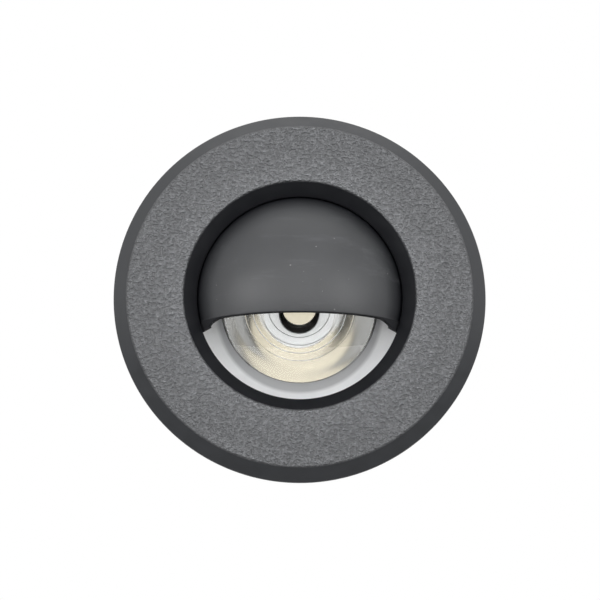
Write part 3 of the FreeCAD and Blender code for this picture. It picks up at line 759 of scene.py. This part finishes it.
def bezel_coat(sizes, colours):
    """Rippled black coat with a smooth chamfer. The grey of its grains is painted sheen, lighter still near
    the throat's mouth as a painted highlight, and its near-black throat is painted shade.
    """
    finish = Finish("bezel_coat", Specular_IOR_Level=0.5)
    drawn = finish.mapped(finish.place, Scale=(0.72, 1.0, 1.0))
    grain = finish.effect(grain_group(), drawn, Grain=2100.0, Cloud=420.0)
    dust = finish.effect(dust_group(), Spacing=300.0, Size=0.05)
    radius = finish.axis_distance(finish.place)
    mouth = sizes.lip_radius + sizes.throat_flare
    rim = outer_radius("bezel") - sizes.bezel_chamfer
    face = finish.ranged(radius, 0.0, 1.0, mouth - 0.25 * MM, mouth + 0.05 * MM)
    flat = finish.ranged(radius, 1.0, 0.0, rim - 0.1 * MM, rim + 0.25 * MM)
    # Painted highlight: the grains grow lighter within 5 mm of the throat's mouth
    near = finish.ranged(radius, 1.0, 0.0, mouth, mouth + 5.0 * MM)
    textured = finish.maths("MULTIPLY", face, flat)
    grains = finish.maths("MULTIPLY", grain["Height"], textured)
    mottled = finish.toned(grain["Tone"], colours.chamfer, 0.7, 1.3)
    # Painted shade: the throat inside the mouth is near-black
    smooth = finish.blended(face, colours.throat, mottled)
    # Painted sheen and shade on the ripples: the grains are lighter on their ridges and darker in their
    # hollows
    hollow = finish.toned(near, colours.coat_grain_sheen, 0.68, 0.84)
    ridge_sheen = finish.toned(near, colours.coat_grain_sheen, 1.36, 1.7)
    toned = finish.blended(grains, finish.blended(textured, smooth, hollow), ridge_sheen)
    finish.feed(Base_Color=finish.blended(dust["Mask"], toned, (0.42, 0.42, 0.42)),
                Roughness=finish.uneven(grain["Tone"], 0.36, 0.5))
    finish.emboss(grains, 0.6 * MM)
    return finish.material


def hood_coat(sizes, colours):
    """Smooth satin black coat with faint rubbed streaks and a little dust, with painted shade at its limb and
    along its lower edge.
    """
    finish = Finish("hood_coat", Specular_IOR_Level=0.4)
    grain = finish.effect(grain_group(), Grain=2600.0, Cloud=130.0)
    scuffs = finish.effect(scuff_group(), Scale=150.0)
    dust = finish.effect(dust_group(), Spacing=700.0, Size=0.11, Rarity=0.55)
    radius = finish.axis_distance(finish.place)
    # Painted shade: the coat turns near-black towards the limb and along the lower edge
    limb = finish.ranged(radius, 0.0, 1.0, sizes.hood_radius * 0.85, sizes.hood_radius)
    edge = finish.ranged(finish.along("Z"), 1.0, 0.0, -sizes.hood_edge, -sizes.hood_edge + 0.15 * MM)
    toned = finish.toned(grain["Tone"], colours.coat, 0.78, 1.26)
    base = finish.blended(finish.maths("MAXIMUM", limb, edge), toned, colours.throat)
    rubbed = finish.blended(finish.ranged(scuffs["Mask"], 0.0, 0.5), base, scaled(colours.coat, 2.0))
    gloss = finish.uneven(grain["Tone"], 0.36, 0.46)
    finish.feed(Base_Color=finish.blended(dust["Mask"], rubbed, (0.15, 0.15, 0.15)),
                Roughness=finish.add("ShaderNodeMix", {"Factor": edge, 2: gloss, 3: 0.9})[0])
    finish.emboss(grain["Height"], 0.004 * MM)
    return finish.material


def satin_finish(sizes, colours):
    """Bead-blasted satin metal with faint turning lines and soft cloudy tones, and a painted dark crescent of
    shade and reflection along the lower inner edge of its cone.
    """
    finish = Finish("satin_metal", Metallic=0.05)
    lines = finish.effect(turning_group(), Lines=3200.0)
    grain = finish.effect(grain_group(), Grain=4200.0, Cloud=190.0)
    window = sizes.window_radius
    # Painted shade and reflection: a crescent along the lower inner edge of the cone, measured from a centre
    # 1.3 mm below the axis, is darker
    raised = finish.add("ShaderNodeVectorMath", {0: finish.place, 1: (0.0, 0.0, 1.3 * MM)}, operation="ADD")
    inner = finish.ranged(finish.axis_distance(raised[0]), 1.0, 0.0, window + 0.4 * MM, window + 1.1 * MM)
    edge = finish.ranged(finish.axis_distance(finish.place), 1.0, 0.0, window + 0.08 * MM, window + 0.16 * MM)
    cloudy = finish.toned(finish.ranged(grain["Tone"], 0.0, 1.0, 0.25, 0.75), colours.satin, 0.9, 1.05)
    cloudy_with_painted_shade = finish.blended(inner, cloudy, scaled(colours.satin, 0.55))
    finish.feed(Base_Color=finish.blended(edge, cloudy_with_painted_shade, scaled(colours.satin, 0.06)),
                Roughness=finish.ranged(lines["Tone"], 0.27, 0.33, 0.1, 0.9))
    finish.emboss(finish.maths("MULTIPLY_ADD", lines["Height"], 0.5, grain["Height"]), 0.003 * MM)
    return finish.material


def clear_finish(sizes):
    """Clear moulded plastic: a polished front, hazier flanks and a matt rear."""
    finish = Finish("optic_plastic", Transmission_Weight=1.0, IOR=1.49, Specular_Tint=(0.55, 0.55, 0.55, 1.0))
    haze = finish.effect(grain_group(), Grain=500.0, Cloud=120.0)
    _, top, back = extent("collimator")
    front = top - sizes.button_height
    depth = finish.along("Y")
    behind = finish.ranged(depth, 0.0, 1.0, -front + 0.1 * MM, -front + 0.3 * MM)
    flank_haze = finish.ranged(behind, FRONT_HAZE, FLANK_HAZE)
    rear_haze = finish.ranged(depth, 0.0, REAR_HAZE, -back - 0.2 * MM, -back - 0.05 * MM)
    finish.feed(Base_Color=finish.blended(haze["Tone"], (0.97, 0.98, 0.975), WHITE),
                Roughness=finish.maths("ADD", flank_haze, rear_haze))
    return finish.material


def phosphor_finish(colours):
    """Cream silicone over the LED, with a painted glow that stands for the light it gathers through the
    optic.
    """
    # Painted glow: the dome emits cream light of its own, though it is no lamp
    finish = Finish("cream_silicone", Specular_IOR_Level=0.4, Emission_Strength=0.76)
    tone = finish.effect(grain_group(), Grain=2500.0, Cloud=400.0)["Tone"]
    finish.feed(Base_Color=finish.toned(tone, colours.phosphor, 0.96, 1.04),
                Emission_Color=finish.toned(tone, colours.phosphor, 0.94, 1.06),
                Roughness=finish.ranged(tone, 0.3, 0.4))
    return finish.material


# Pieces

class PATHLIGHT_OT_bezel(bpy.types.Operator):
    """Turn the coated front ring with its throat, lip and collar"""
    bl_idname = "pathlight.bezel"
    bl_label = "Bezel"

    def execute(self, context):
        sizes = context.scene.path_light_sizes
        material = bezel_coat(sizes, context.scene.path_light_colours)
        radius, face, rear = extent("bezel")
        gasket_front = front_of("wall_gasket")
        seal_front = front_of("front_seal")
        seat = outer_radius("eyelid_hood") + TURN_GAP
        bore = outer_radius("front_seal") + FIT_GAP
        outline = [
            (sizes.lip_radius, sizes.lip_back), (sizes.lip_radius, sizes.lip_front, FINE_EASE),
            (sizes.lip_radius + sizes.throat_flare, face, sizes.bezel_round),
            (radius - sizes.bezel_chamfer, face, sizes.bezel_round),
            (radius, face - sizes.bezel_chamfer, sizes.bezel_round), (radius, gasket_front, EASE),
            (sizes.collar_radius, gasket_front), (sizes.collar_radius, rear, EASE), (bore, rear, EASE),
            (bore, seal_front), (seat, seal_front), (seat, sizes.lip_back)]
        add_piece("coated_bezel", turned(outline, material, sizes.turns), "fixture", "black_coat", "bezel")
        return {"FINISHED"}


def hood_edge_line(sizes, reach):
    """The (x, z) points of the right half of the hood's lower edge, out to a radius."""
    edge = -sizes.hood_edge
    foot = edge - sizes.hood_foot
    half = sizes.hood_radius - sizes.hood_foot_inset
    corner = sizes.hood_corner
    sweep = math.acos(1 - sizes.hood_foot / corner)
    whole = [(0.0, edge), (half, edge)]
    for step in range(1, CORNER_STEPS + 1):
        turn = sweep * step / CORNER_STEPS
        whole.append((half + corner * math.sin(turn), edge - corner * (1 - math.cos(turn))))
    whole.append((math.sqrt(sizes.hood_radius ** 2 - foot ** 2), foot))
    line = [point for point in whole if math.hypot(*point) <= reach + SAME_POINT]
    if len(line) < len(whole):
        (x, z), beyond = line[-1], whole[len(line)]
        right, up = beyond[0] - x, beyond[1] - z
        square = right ** 2 + up ** 2
        slant = x * right + z * up
        share = (math.sqrt(slant ** 2 - square * (x ** 2 + z ** 2 - reach ** 2)) - slant) / square
        line.append(between((x, z), beyond, share))
    return line


def between(start, end, share):
    """The point at a share of the way between two."""
    return tuple(a + (b - a) * share for a, b in zip(start, end))


def along_line(line, share):
    """The point at a share of a line's length."""
    spans = [math.dist(a, b) for a, b in zip(line, line[1:])]
    left = sum(spans) * share
    for (start, end), span in zip(zip(line, line[1:]), spans):
        if left <= span:
            return between(start, end, left / span)
        left -= span
    return line[-1]


def rounded_corner(first, corner, last):
    """Three points that round a corner between two others."""
    return [tuple((1 - share) ** 2 * a + 2 * share * (1 - share) * b + share ** 2 * c
                  for a, b, c in zip(first, corner, last)) for share in (0.25, 0.5, 0.75)]


def hood_mesh(sizes, material):
    """The half dome: a closed section for each place along its edge, lofted from one foot to the other."""
    neck = sizes.hood_radius
    inner_neck = neck - sizes.hood_wall
    _, top, base = extent("eyelid_hood")
    rise = top - sizes.lip_front
    ball = (neck ** 2 + rise ** 2) / (2 * rise)
    inner_ball = ball - sizes.hood_wall
    centre = top - ball
    ease = sizes.hood_edge_round
    guard = 0.05 * MM
    flange_front = sizes.lip_back - LIP_GAP
    flange_radius = neck + FLANGE

    def on_ball(x, z, radius):
        return (x, -(centre + math.sqrt(max(radius ** 2 - x * x - z * z, 0.0))), z)

    def dome_side(low, limb, radius, flange=None):
        """Points up one skin of the dome: from the eased edge to the limb, the neck and the flange."""
        gap = math.dist(low, limb)
        start = min(ease / gap, 0.4) if gap > SAME_POINT else 0.0
        side = []
        for row in range(HOOD_ROWS + 1):
            share = start + (1 - start) * (row / HOOD_ROWS)
            side.append(on_ball(*between(low, limb, share), radius))
        rim = side[-1]
        side.insert(-1, tuple(Vector(rim).lerp(Vector(side[-2]), 0.05)))
        side.append((limb[0], rim[1] + guard, limb[1]))
        if flange is None:
            return side + [(limb[0], -base, limb[1])]
        outer = (limb[0] * flange / neck, limb[1] * flange / neck)
        return side + [(limb[0], -flange_front, limb[1]), (outer[0], -(flange_front - FLANGE), outer[1]),
                       (outer[0], -base, outer[1])]

    edge = hood_edge_line(sizes, neck)
    foot = edge[-1]
    inner_foot = hood_edge_line(sizes, inner_neck)[-1]
    swing = math.pi / 2 - math.atan2(foot[1], foot[0])
    inner_swing = math.pi / 2 - math.atan2(inner_foot[1], inner_foot[0])
    sections = []
    for column in range(HOOD_COLUMNS + 1):
        across = 2 * column / HOOD_COLUMNS - 1
        hand = math.copysign(1.0, across)
        x, z = along_line(edge, abs(across))
        low = (hand * x, z)
        inner_low = (hand * min(x, inner_foot[0]), max(z, inner_foot[1]))
        turn = math.pi / 2 - across * swing
        inner_turn = math.pi / 2 - across * inner_swing
        outside = dome_side(low, (neck * math.cos(turn), neck * math.sin(turn)), ball, flange_radius)
        inside = dome_side(inner_low, (inner_neck * math.cos(inner_turn), inner_neck * math.sin(inner_turn)),
                           inner_ball)
        corner = on_ball(*low, ball)
        inner_corner = on_ball(*inner_low, inner_ball)
        depth = Vector(inner_corner) - Vector(corner)
        step = depth.normalized() * min(ease, depth.length * 0.4)
        strip_front = tuple(Vector(corner) + step)
        strip_back = tuple(Vector(inner_corner) - step)
        sections.append(outside + inside[::-1] + rounded_corner(inside[0], inner_corner, strip_back)
                        + [strip_back, strip_front] + rounded_corner(strip_front, corner, outside[0]))
    edit = bmesh.new()
    lofted(edit, [[edit.verts.new(point) for point in section] for section in sections])
    bmesh.ops.remove_doubles(edit, verts=edit.verts, dist=0.002 * MM)
    bmesh.ops.dissolve_degenerate(edit, edges=edit.edges, dist=0.001 * MM)
    mesh = formed(edit, "hood")
    mesh.materials.append(material)
    return smoothed(mesh, 40.0)


class PATHLIGHT_OT_eyelid(bpy.types.Operator):
    """Form the half-dome hood and the ring that carries it"""
    bl_idname = "pathlight.eyelid"
    bl_label = "Eyelid"

    def execute(self, context):
        sizes = context.scene.path_light_sizes
        material = hood_coat(sizes, context.scene.path_light_colours)
        hood = hood_mesh(sizes, material)
        inner = sizes.lip_radius + 0.15 * MM
        outer, _, base = extent("eyelid_hood")
        front = sizes.lip_back - LIP_GAP
        corners = ((inner, base), (outer, base), (outer, front), (inner, front))
        carrier = turned([(*corner, FINE_EASE) for corner in corners], material, sizes.turns)
        add_piece("eyelid", merged([hood, carrier], material), "eyelid", "black_coat", "eyelid_hood")
        return {"FINISHED"}


def collimator_mesh(sizes, material):
    """The clear optic, with fine rings in its front and a stepped flank that swells a little."""
    rim, top, back = extent("collimator")
    front = top - sizes.button_height
    rim_back = front_of("collimator_cup")
    well_top = back + sizes.well_depth
    outline = cap_points(sizes.button_radius, top, sizes.button_height)
    outline.append((sizes.button_radius + sizes.button_foot, front))
    for number in range(sizes.ring_first, sizes.ring_first + sizes.ring_count):
        middle = sizes.ring_pitch * number
        outline += [(middle - sizes.ring_width / 2, front), (middle, front - sizes.ring_depth),
                    (middle + sizes.ring_width / 2, front)]
    outline += [(rim, front), (rim, rim_back)]
    for facet in range(sizes.flank_steps):
        for point in range(FLANK_POINTS + 1):
            down = point / FLANK_POINTS
            share = 1 - (facet + down) / sizes.flank_steps
            square = sizes.neck_radius ** 2 * (1 - share) + sizes.flank_radius ** 2 * share
            outline.append((math.sqrt(square) + sizes.flank_step * (0.5 - down),
                            back + (rim_back - back) * share))
    outline.append((sizes.well_radius, back))
    outline += cap_points(sizes.well_radius, well_top - sizes.well_crown, -sizes.well_crown)[::-1]
    mesh = turned(outline, material, sizes.turns, is_closed=False)
    for vertex in mesh.vertices:
        x, y, z = vertex.co
        radius = math.hypot(x, z)
        share = (-y - back) / (rim_back - back)
        if radius < sizes.neck_radius or not 0.0 < share < 1.0:
            continue
        turn = math.atan2(z, x)
        swell = sum(height * math.sin(around * turn + start) * math.sin(math.pi * waves * share)
                    for height, around, start, waves in FLANK_SWELLS)
        vertex.co = (x * (1 + swell / radius), y, z * (1 + swell / radius))
    mesh.update()
    return mesh


class PATHLIGHT_OT_optic(bpy.types.Operator):
    """Turn the satin ring, the clear optic and the LED behind it"""
    bl_idname = "pathlight.optic"
    bl_label = "Optic"

    def execute(self, context):
        sizes = context.scene.path_light_sizes
        colours = context.scene.path_light_colours
        self.make_holder(sizes, satin_finish(sizes, colours))
        add_piece("clear_collimator", collimator_mesh(sizes, clear_finish(sizes)), "fixture", "clear_optic",
                  "collimator")
        self.make_led(sizes, colours)
        return {"FINISHED"}

    def make_holder(self, sizes, material):
        """Turn the satin cone with its window and its skirt."""
        outside, front, back = extent("optic_holder")
        window_back = front_of("optic_seal")
        window_front = window_back + 0.4 * MM
        cone_mouth = sizes.lip_radius + 0.3 * MM
        rim_bore = outer_radius("collimator") + FIT_GAP
        pocket_end = front_of("collimator_cup") - 1.1 * MM
        skirt = outer_radius("led_board") + 1.5 * MM
        outline = [
            (cone_mouth, front, FINE_EASE), (sizes.window_radius, window_front, FINE_EASE),
            (sizes.window_radius, window_back, FINE_EASE), (rim_bore, window_back), (rim_bore, pocket_end),
            (skirt, pocket_end), (skirt, back, FINE_EASE), (outside, back, FINE_EASE),
            (outside, front, FINE_EASE)]
        add_piece("satin_ring", turned(outline, material, sizes.turns), "fixture", "satin_aluminium",
                  "optic_holder")

    def make_led(self, sizes, colours):
        """Turn the black package and the cream dome on it."""
        base, top, seat = extent("led_base")
        ball = outer_radius("led_dome")
        black = grained_finish("led_black", (0.012, 0.012, 0.013), 0.7, 1800.0, 0.006 * MM,
                               Specular_IOR_Level=0.1)
        outline = [(0.0, seat), (base, seat, FINE_EASE), (base, top, EASE), (0.0, top)]
        package = turned(outline, black, sizes.turns, is_closed=False)
        add_piece("led_package", package, "fixture", "black_plastic", "led_base")
        outline = [(ball * sine, top + ball * cosine) for sine, cosine in QUARTER] + [(0.0, top)]
        dome = turned(outline, phosphor_finish(colours), sizes.turns, is_closed=False)
        add_piece("led_phosphor", dome, "fixture", "phosphor", "led_dome")


class PATHLIGHT_OT_body(bpy.types.Operator):
    """Break the edges of the cast body and dress its rear cover"""
    bl_idname = "pathlight.body"
    bl_label = "Body and cover"

    def execute(self, context):
        colours = context.scene.path_light_colours
        casting = grained_finish("body_casting", colours.casting, 0.5, 1000.0, 0.03 * MM)
        add_piece("cast_body", eased("housing", casting), "fixture", "cast_black", "housing")
        add_piece("cast_cover", copied("rear_cover", casting), "fixture", "cast_black", "rear_cover")
        return {"FINISHED"}


class PATHLIGHT_OT_cover_screws(bpy.types.Operator):
    """Set the four socket screws in the rear cover"""
    bl_idname = "pathlight.cover_screws"
    bl_label = "Cover screws"

    def execute(self, context):
        steel = turned_finish("screw_zinc", (0.6, 0.61, 0.62), 0.3, 9000.0)
        screw = socket_screw()
        screw.transform(Matrix.Translation((0.0, -back_of("rear_cover"), 0.0)))
        screws = grown(screw, screw_tree(), {"Count": SCREW_COUNT, "Circle radius": SCREW_CIRCLE,
                                             "First angle": SCREW_FIRST_ANGLE, "Material": steel})
        add_piece("cover_screws", smoothed(screws), "fixture", "zinc_steel", "rear_cover_screws")
        return {"FINISHED"}


class PATHLIGHT_OT_gland(bpy.types.Operator):
    """Dress the cable gland and its nut"""
    bl_idname = "pathlight.gland"
    bl_label = "Cable gland"

    def execute(self, context):
        sizes = context.scene.path_light_sizes
        colours = context.scene.path_light_colours
        nylon = grained_finish("gland_nylon", colours.nylon, 0.42, 1500.0, 0.008 * MM)
        for name, node, outline in (("gland_stem", "gland_body", self.stem_outline),
                                    ("gland_cap", "gland_nut", self.cap_outline)):
            width = 2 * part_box(node)[1].z
            mesh = turned(outline(sizes, width), nylon, sizes.turns)
            add_piece(name, hexed(mesh, width, sizes.gland_round), "fixture", "gland_plastic", node)
        return {"FINISHED"}

    def stem_outline(self, sizes, width):
        """The threaded stem, with the collar that is pressed to a hexagon."""
        reach = width / math.sqrt(3)
        _, front, back = extent("gland_body")
        hex_front = back_of("gland_washer")
        hex_back = front_of("gland_nut") + sizes.gland_gap
        ease = sizes.gland_round
        return [
            (sizes.gland_bore, front), (sizes.gland_bore, back), (sizes.gland_thread, back, ease),
            (sizes.gland_thread, hex_back), (reach - 2 * ease, hex_back), (reach, hex_back + ease),
            (reach, hex_front - ease), (reach - 2 * ease, hex_front), (sizes.gland_thread, hex_front),
            (sizes.gland_thread, front, ease)]

    def cap_outline(self, sizes, width):
        """The domed cap, which is pressed to a hexagon."""
        reach = width / math.sqrt(3)
        _, front, back = extent("gland_nut")
        inner = back_of("gland_insert")
        mouth = sizes.gland_mouth
        bore = sizes.gland_thread + 0.05 * MM
        end = width / 2 - sizes.gland_cap_end
        ease = sizes.gland_round
        dome = [(end + (reach - end) * sine, back + sizes.gland_cap_dome * (1 - cosine))
                for sine, cosine in QUARTER]
        return [(mouth, inner), (mouth, back + ease), (mouth + ease, back), *dome, (reach, front - ease),
                (reach - 2 * ease, front), (bore, front), (bore, inner)]


class PATHLIGHT_OT_clips(bpy.types.Operator):
    """Dress the two clip arms and wind their springs"""
    bl_idname = "pathlight.clips"
    bl_label = "Clips"

    def execute(self, context):
        sizes = context.scene.path_light_sizes
        steel = brushed_finish("clip_steel", context.scene.path_light_colours.steel, 0.34, (1.0, 0.05, 1.0))
        wire = turned_finish("spring_wire", (0.5, 0.5, 0.51), 0.3, 7000.0)
        for side, sign in (("left", -1), ("right", 1)):
            add_piece("clip_" + side, eased("clip_arm_" + side, steel), "clip_" + side, "spring_steel",
                      "clip_arm_" + side)
            self.make_spring(sizes, wire, side, sign)
        return {"FINISHED"}

    def make_spring(self, sizes, material, side, sign):
        """Wind a spring about its pin, with one leg on the body and one on the arm."""
        low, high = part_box("clip_pin_" + side)
        pivot = (low + high) / 2
        rise = sizes.spring_pitch / (2 * math.pi)
        first = math.pi + BODY_LEG_LEAN
        last = 2 * math.pi * sizes.spring_loops - ARM_LEG_LEAN
        middle = (first + last) / 2
        steps = LOOP_STEPS * sizes.spring_loops
        coil = []
        for step in range(steps + 1):
            turn = first + (last - first) * step / steps
            coil.append(Vector((sizes.spring_radius * math.cos(turn), -sizes.spring_radius * math.sin(turn),
                                rise * (turn - middle))))
        body_way = Vector((-math.sin(first), -math.cos(first), 0.0))
        arm_way = Vector((-math.sin(last), -math.cos(last), 0.0))
        path = [coil[0] - body_way * BODY_LEG] + coil + [coil[-1] + arm_way * ARM_LEG]
        points = [(pivot.x + sign * point.x, pivot.y + point.y, pivot.z + point.z) for point in path]
        wound = grown(path_mesh(points), wire_tree(), {"Wire radius": sizes.spring_wire,
                                                       "Facets round": WIRE_FACETS, "Material": material})
        spring = linked("clip_spring_wire_" + side, smoothed(wound, 60.0))
        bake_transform(spring)
        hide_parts("clip_spring_" + side)


class PATHLIGHT_OT_inside(bpy.types.Operator):
    """Give the seals and the parts inside the body their finishes"""
    bl_idname = "pathlight.inside"
    bl_label = "Seals and inner parts"

    def execute(self, context):
        colours = context.scene.path_light_colours
        cup = front_of("collimator_cup")
        for material, *nodes in (
            (grained_finish("moulded_rubber", colours.rubber, 0.6, 1400.0, 0.006 * MM), "front_seal",
             "optic_seal", "housing_oring", "rear_cover_oring", "gland_washer", "gland_insert"),
            (grained_finish("gasket_foam", (0.025, 0.025, 0.026), 0.85, 1600.0, 0.06 * MM), "wall_gasket"),
            (grained_finish("moulded_black", (0.014, 0.014, 0.015), 0.5, 1500.0, 0.006 * MM),
             "driver_rectifier", "driver_chip"),
            (painted_glow_finish("moulded_white", (0.8, 0.8, 0.79), 0.4, 0.35, cup - 1.0 * MM), "collimator_cup"),
            (turned_finish("inner_zinc", (0.6, 0.61, 0.62), 0.32), "led_board_screws", "driver_screws",
             "clip_pin_left", "clip_pin_right"),
            (painted_glow_finish("white_mask", (0.84, 0.85, 0.85), 0.35, 0.65, cup), "led_board"),
            (grained_finish("green_mask", (0.02, 0.16, 0.07), 0.35, 2000.0, 0.003 * MM), "driver_board"),
            (grained_finish("heat_pad", (0.4, 0.41, 0.43), 0.7, spread=0.08), "thermal_pad"),
            (turned_finish("turned_aluminium", (0.7, 0.7, 0.71), 0.35, 2500.0), "heat_spreader"),
            (grained_finish("lead_sleeve", (0.55, 0.04, 0.03), 0.4, 2000.0, 0.003 * MM), "led_leads"),
            (turned_finish("turned_brass", (0.72, 0.53, 0.24), 0.3, 6000.0), "driver_standoffs"),
            (grained_finish("ferrite_core", (0.05, 0.05, 0.055), 0.6, 2200.0, 0.01 * MM), "driver_inductor"),
            (turned_finish("drawn_can", (0.68, 0.69, 0.7), 0.3, 8000.0), "driver_capacitor"),
            (grained_finish("terminal_green", (0.03, 0.22, 0.1), 0.4, 1500.0, 0.005 * MM), "supply_terminal"),
        ):
            for node in nodes:
                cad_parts[node].material_slots[0].material = material
        return {"FINISHED"}


class PATHLIGHT_OT_stage(bpy.types.Operator):
    """Set the floor, the room, the lamps and the camera"""
    bl_idname = "pathlight.stage"
    bl_label = "Stage"

    def execute(self, context):
        scene = context.scene
        stage = scene.path_light_stage
        scene.view_settings.view_transform = "Standard"
        self.make_floor(stage.floor)
        self.make_room(scene, stage.ambient)
        for lamp in LAMPS:
            self.add_lamp(*lamp)
        self.add_camera(scene, stage)
        return {"FINISHED"}

    def make_floor(self, height):
        """Lay the pale floor."""
        mesh = bpy.data.meshes.new("floor")
        signs = ((-1, -1), (1, -1), (1, 1), (-1, 1))
        mesh.from_pydata([(x * FLOOR_REACH, y * FLOOR_REACH, height) for x, y in signs], [], [(0, 1, 2, 3)])
        mesh.materials.append(paper_finish(FLOOR_FADE, FLOOR_REACH))
        linked("floor", mesh)

    def make_room(self, scene, ambient):
        """Make a room that looks white and lights the part with a strength of its own."""
        world = bpy.data.worlds.new("studio")
        world.use_nodes = True
        nodes = Nodes(world.node_tree)
        nodes.tree.nodes.clear()
        ray = nodes.add("ShaderNodeLightPath")
        seen = nodes.maths("MAXIMUM", ray["Is Camera Ray"], ray["Is Glossy Ray"])
        shown = nodes.maths("MAXIMUM", seen, ray["Is Transmission Ray"])
        room, white = [nodes.add("ShaderNodeBackground", {"Color": (*WHITE, 1.0), "Strength": strength})[0]
                       for strength in (ambient, 1.0)]
        mixed = nodes.add("ShaderNodeMixShader", {0: shown, 1: room, 2: white})[0]
        nodes.add("ShaderNodeOutputWorld", {"Surface": mixed})
        scene.world = world

    def add_lamp(self, name, spot, size, power, spread):
        """Hang a soft lamp that faces the part."""
        lamp = bpy.data.lights.new(name, "AREA")
        lamp.spread = math.radians(spread)
        lamp.shape = "RECTANGLE"
        lamp.size, lamp.size_y = size
        lamp.energy = power
        item = linked(name, lamp)
        item.location = spot
        item.rotation_euler = (-Vector(spot)).to_track_quat("-Z", "Y").to_euler()
        item.visible_camera = False

    def add_camera(self, scene, stage):
        """Set the camera at the photo's viewing angle."""
        lens = bpy.data.cameras.new("camera")
        lens.lens = stage.lens
        lens.sensor_width = 36.0
        lens.clip_start = 0.01
        camera = linked("camera", lens)
        away = Vector((math.sin(stage.azimuth) * math.cos(stage.elevation),
                       -math.cos(stage.azimuth) * math.cos(stage.elevation), math.sin(stage.elevation)))
        camera.location = Vector((stage.aim_right, 0.0, stage.aim_up)) + away * stage.distance
        camera.rotation_euler = (-away).to_track_quat("-Z", "Y").to_euler()
        scene.camera = camera


class PATHLIGHT_PT_panel(bpy.types.Panel):
    """Lists the steps that dress the path light, with its sizes, colours and stage"""
    bl_idname = "PATHLIGHT_PT_panel"
    bl_label = "Path light"
    bl_space_type = "VIEW_3D"
    bl_region_type = "UI"
    bl_category = "Path light"

    def draw(self, context):
        for step in STEPS:
            self.layout.operator(step.bl_idname)
        for group in (context.scene.path_light_sizes, context.scene.path_light_colours,
                      context.scene.path_light_stage):
            for name in group.bl_rna.properties.keys():
                if name not in ("rna_type", "name"):
                    self.layout.prop(group, name)


STEPS = (PATHLIGHT_OT_bezel, PATHLIGHT_OT_eyelid, PATHLIGHT_OT_optic, PATHLIGHT_OT_body,
         PATHLIGHT_OT_cover_screws, PATHLIGHT_OT_gland, PATHLIGHT_OT_clips, PATHLIGHT_OT_inside,
         PATHLIGHT_OT_stage)
CLASSES = (PathLightSizes, PathLightColours, PathLightStage) + STEPS + (PATHLIGHT_PT_panel,)


def register():
    for item in CLASSES:
        bpy.utils.register_class(item)
    bpy.types.Scene.path_light_sizes = PointerProperty(type=PathLightSizes)
    bpy.types.Scene.path_light_colours = PointerProperty(type=PathLightColours)
    bpy.types.Scene.path_light_stage = PointerProperty(type=PathLightStage)


def unregister():
    del bpy.types.Scene.path_light_stage
    del bpy.types.Scene.path_light_colours
    del bpy.types.Scene.path_light_sizes
    for item in reversed(CLASSES):
        bpy.utils.unregister_class(item)


def main():
    register()
    bpy.ops.pathlight.bezel()
    bpy.ops.pathlight.eyelid()
    bpy.ops.pathlight.optic()
    bpy.ops.pathlight.body()
    bpy.ops.pathlight.cover_screws()
    bpy.ops.pathlight.gland()
    bpy.ops.pathlight.clips()
    bpy.ops.pathlight.inside()
    bpy.ops.pathlight.stage()


if __name__ == "__main__":
    main()
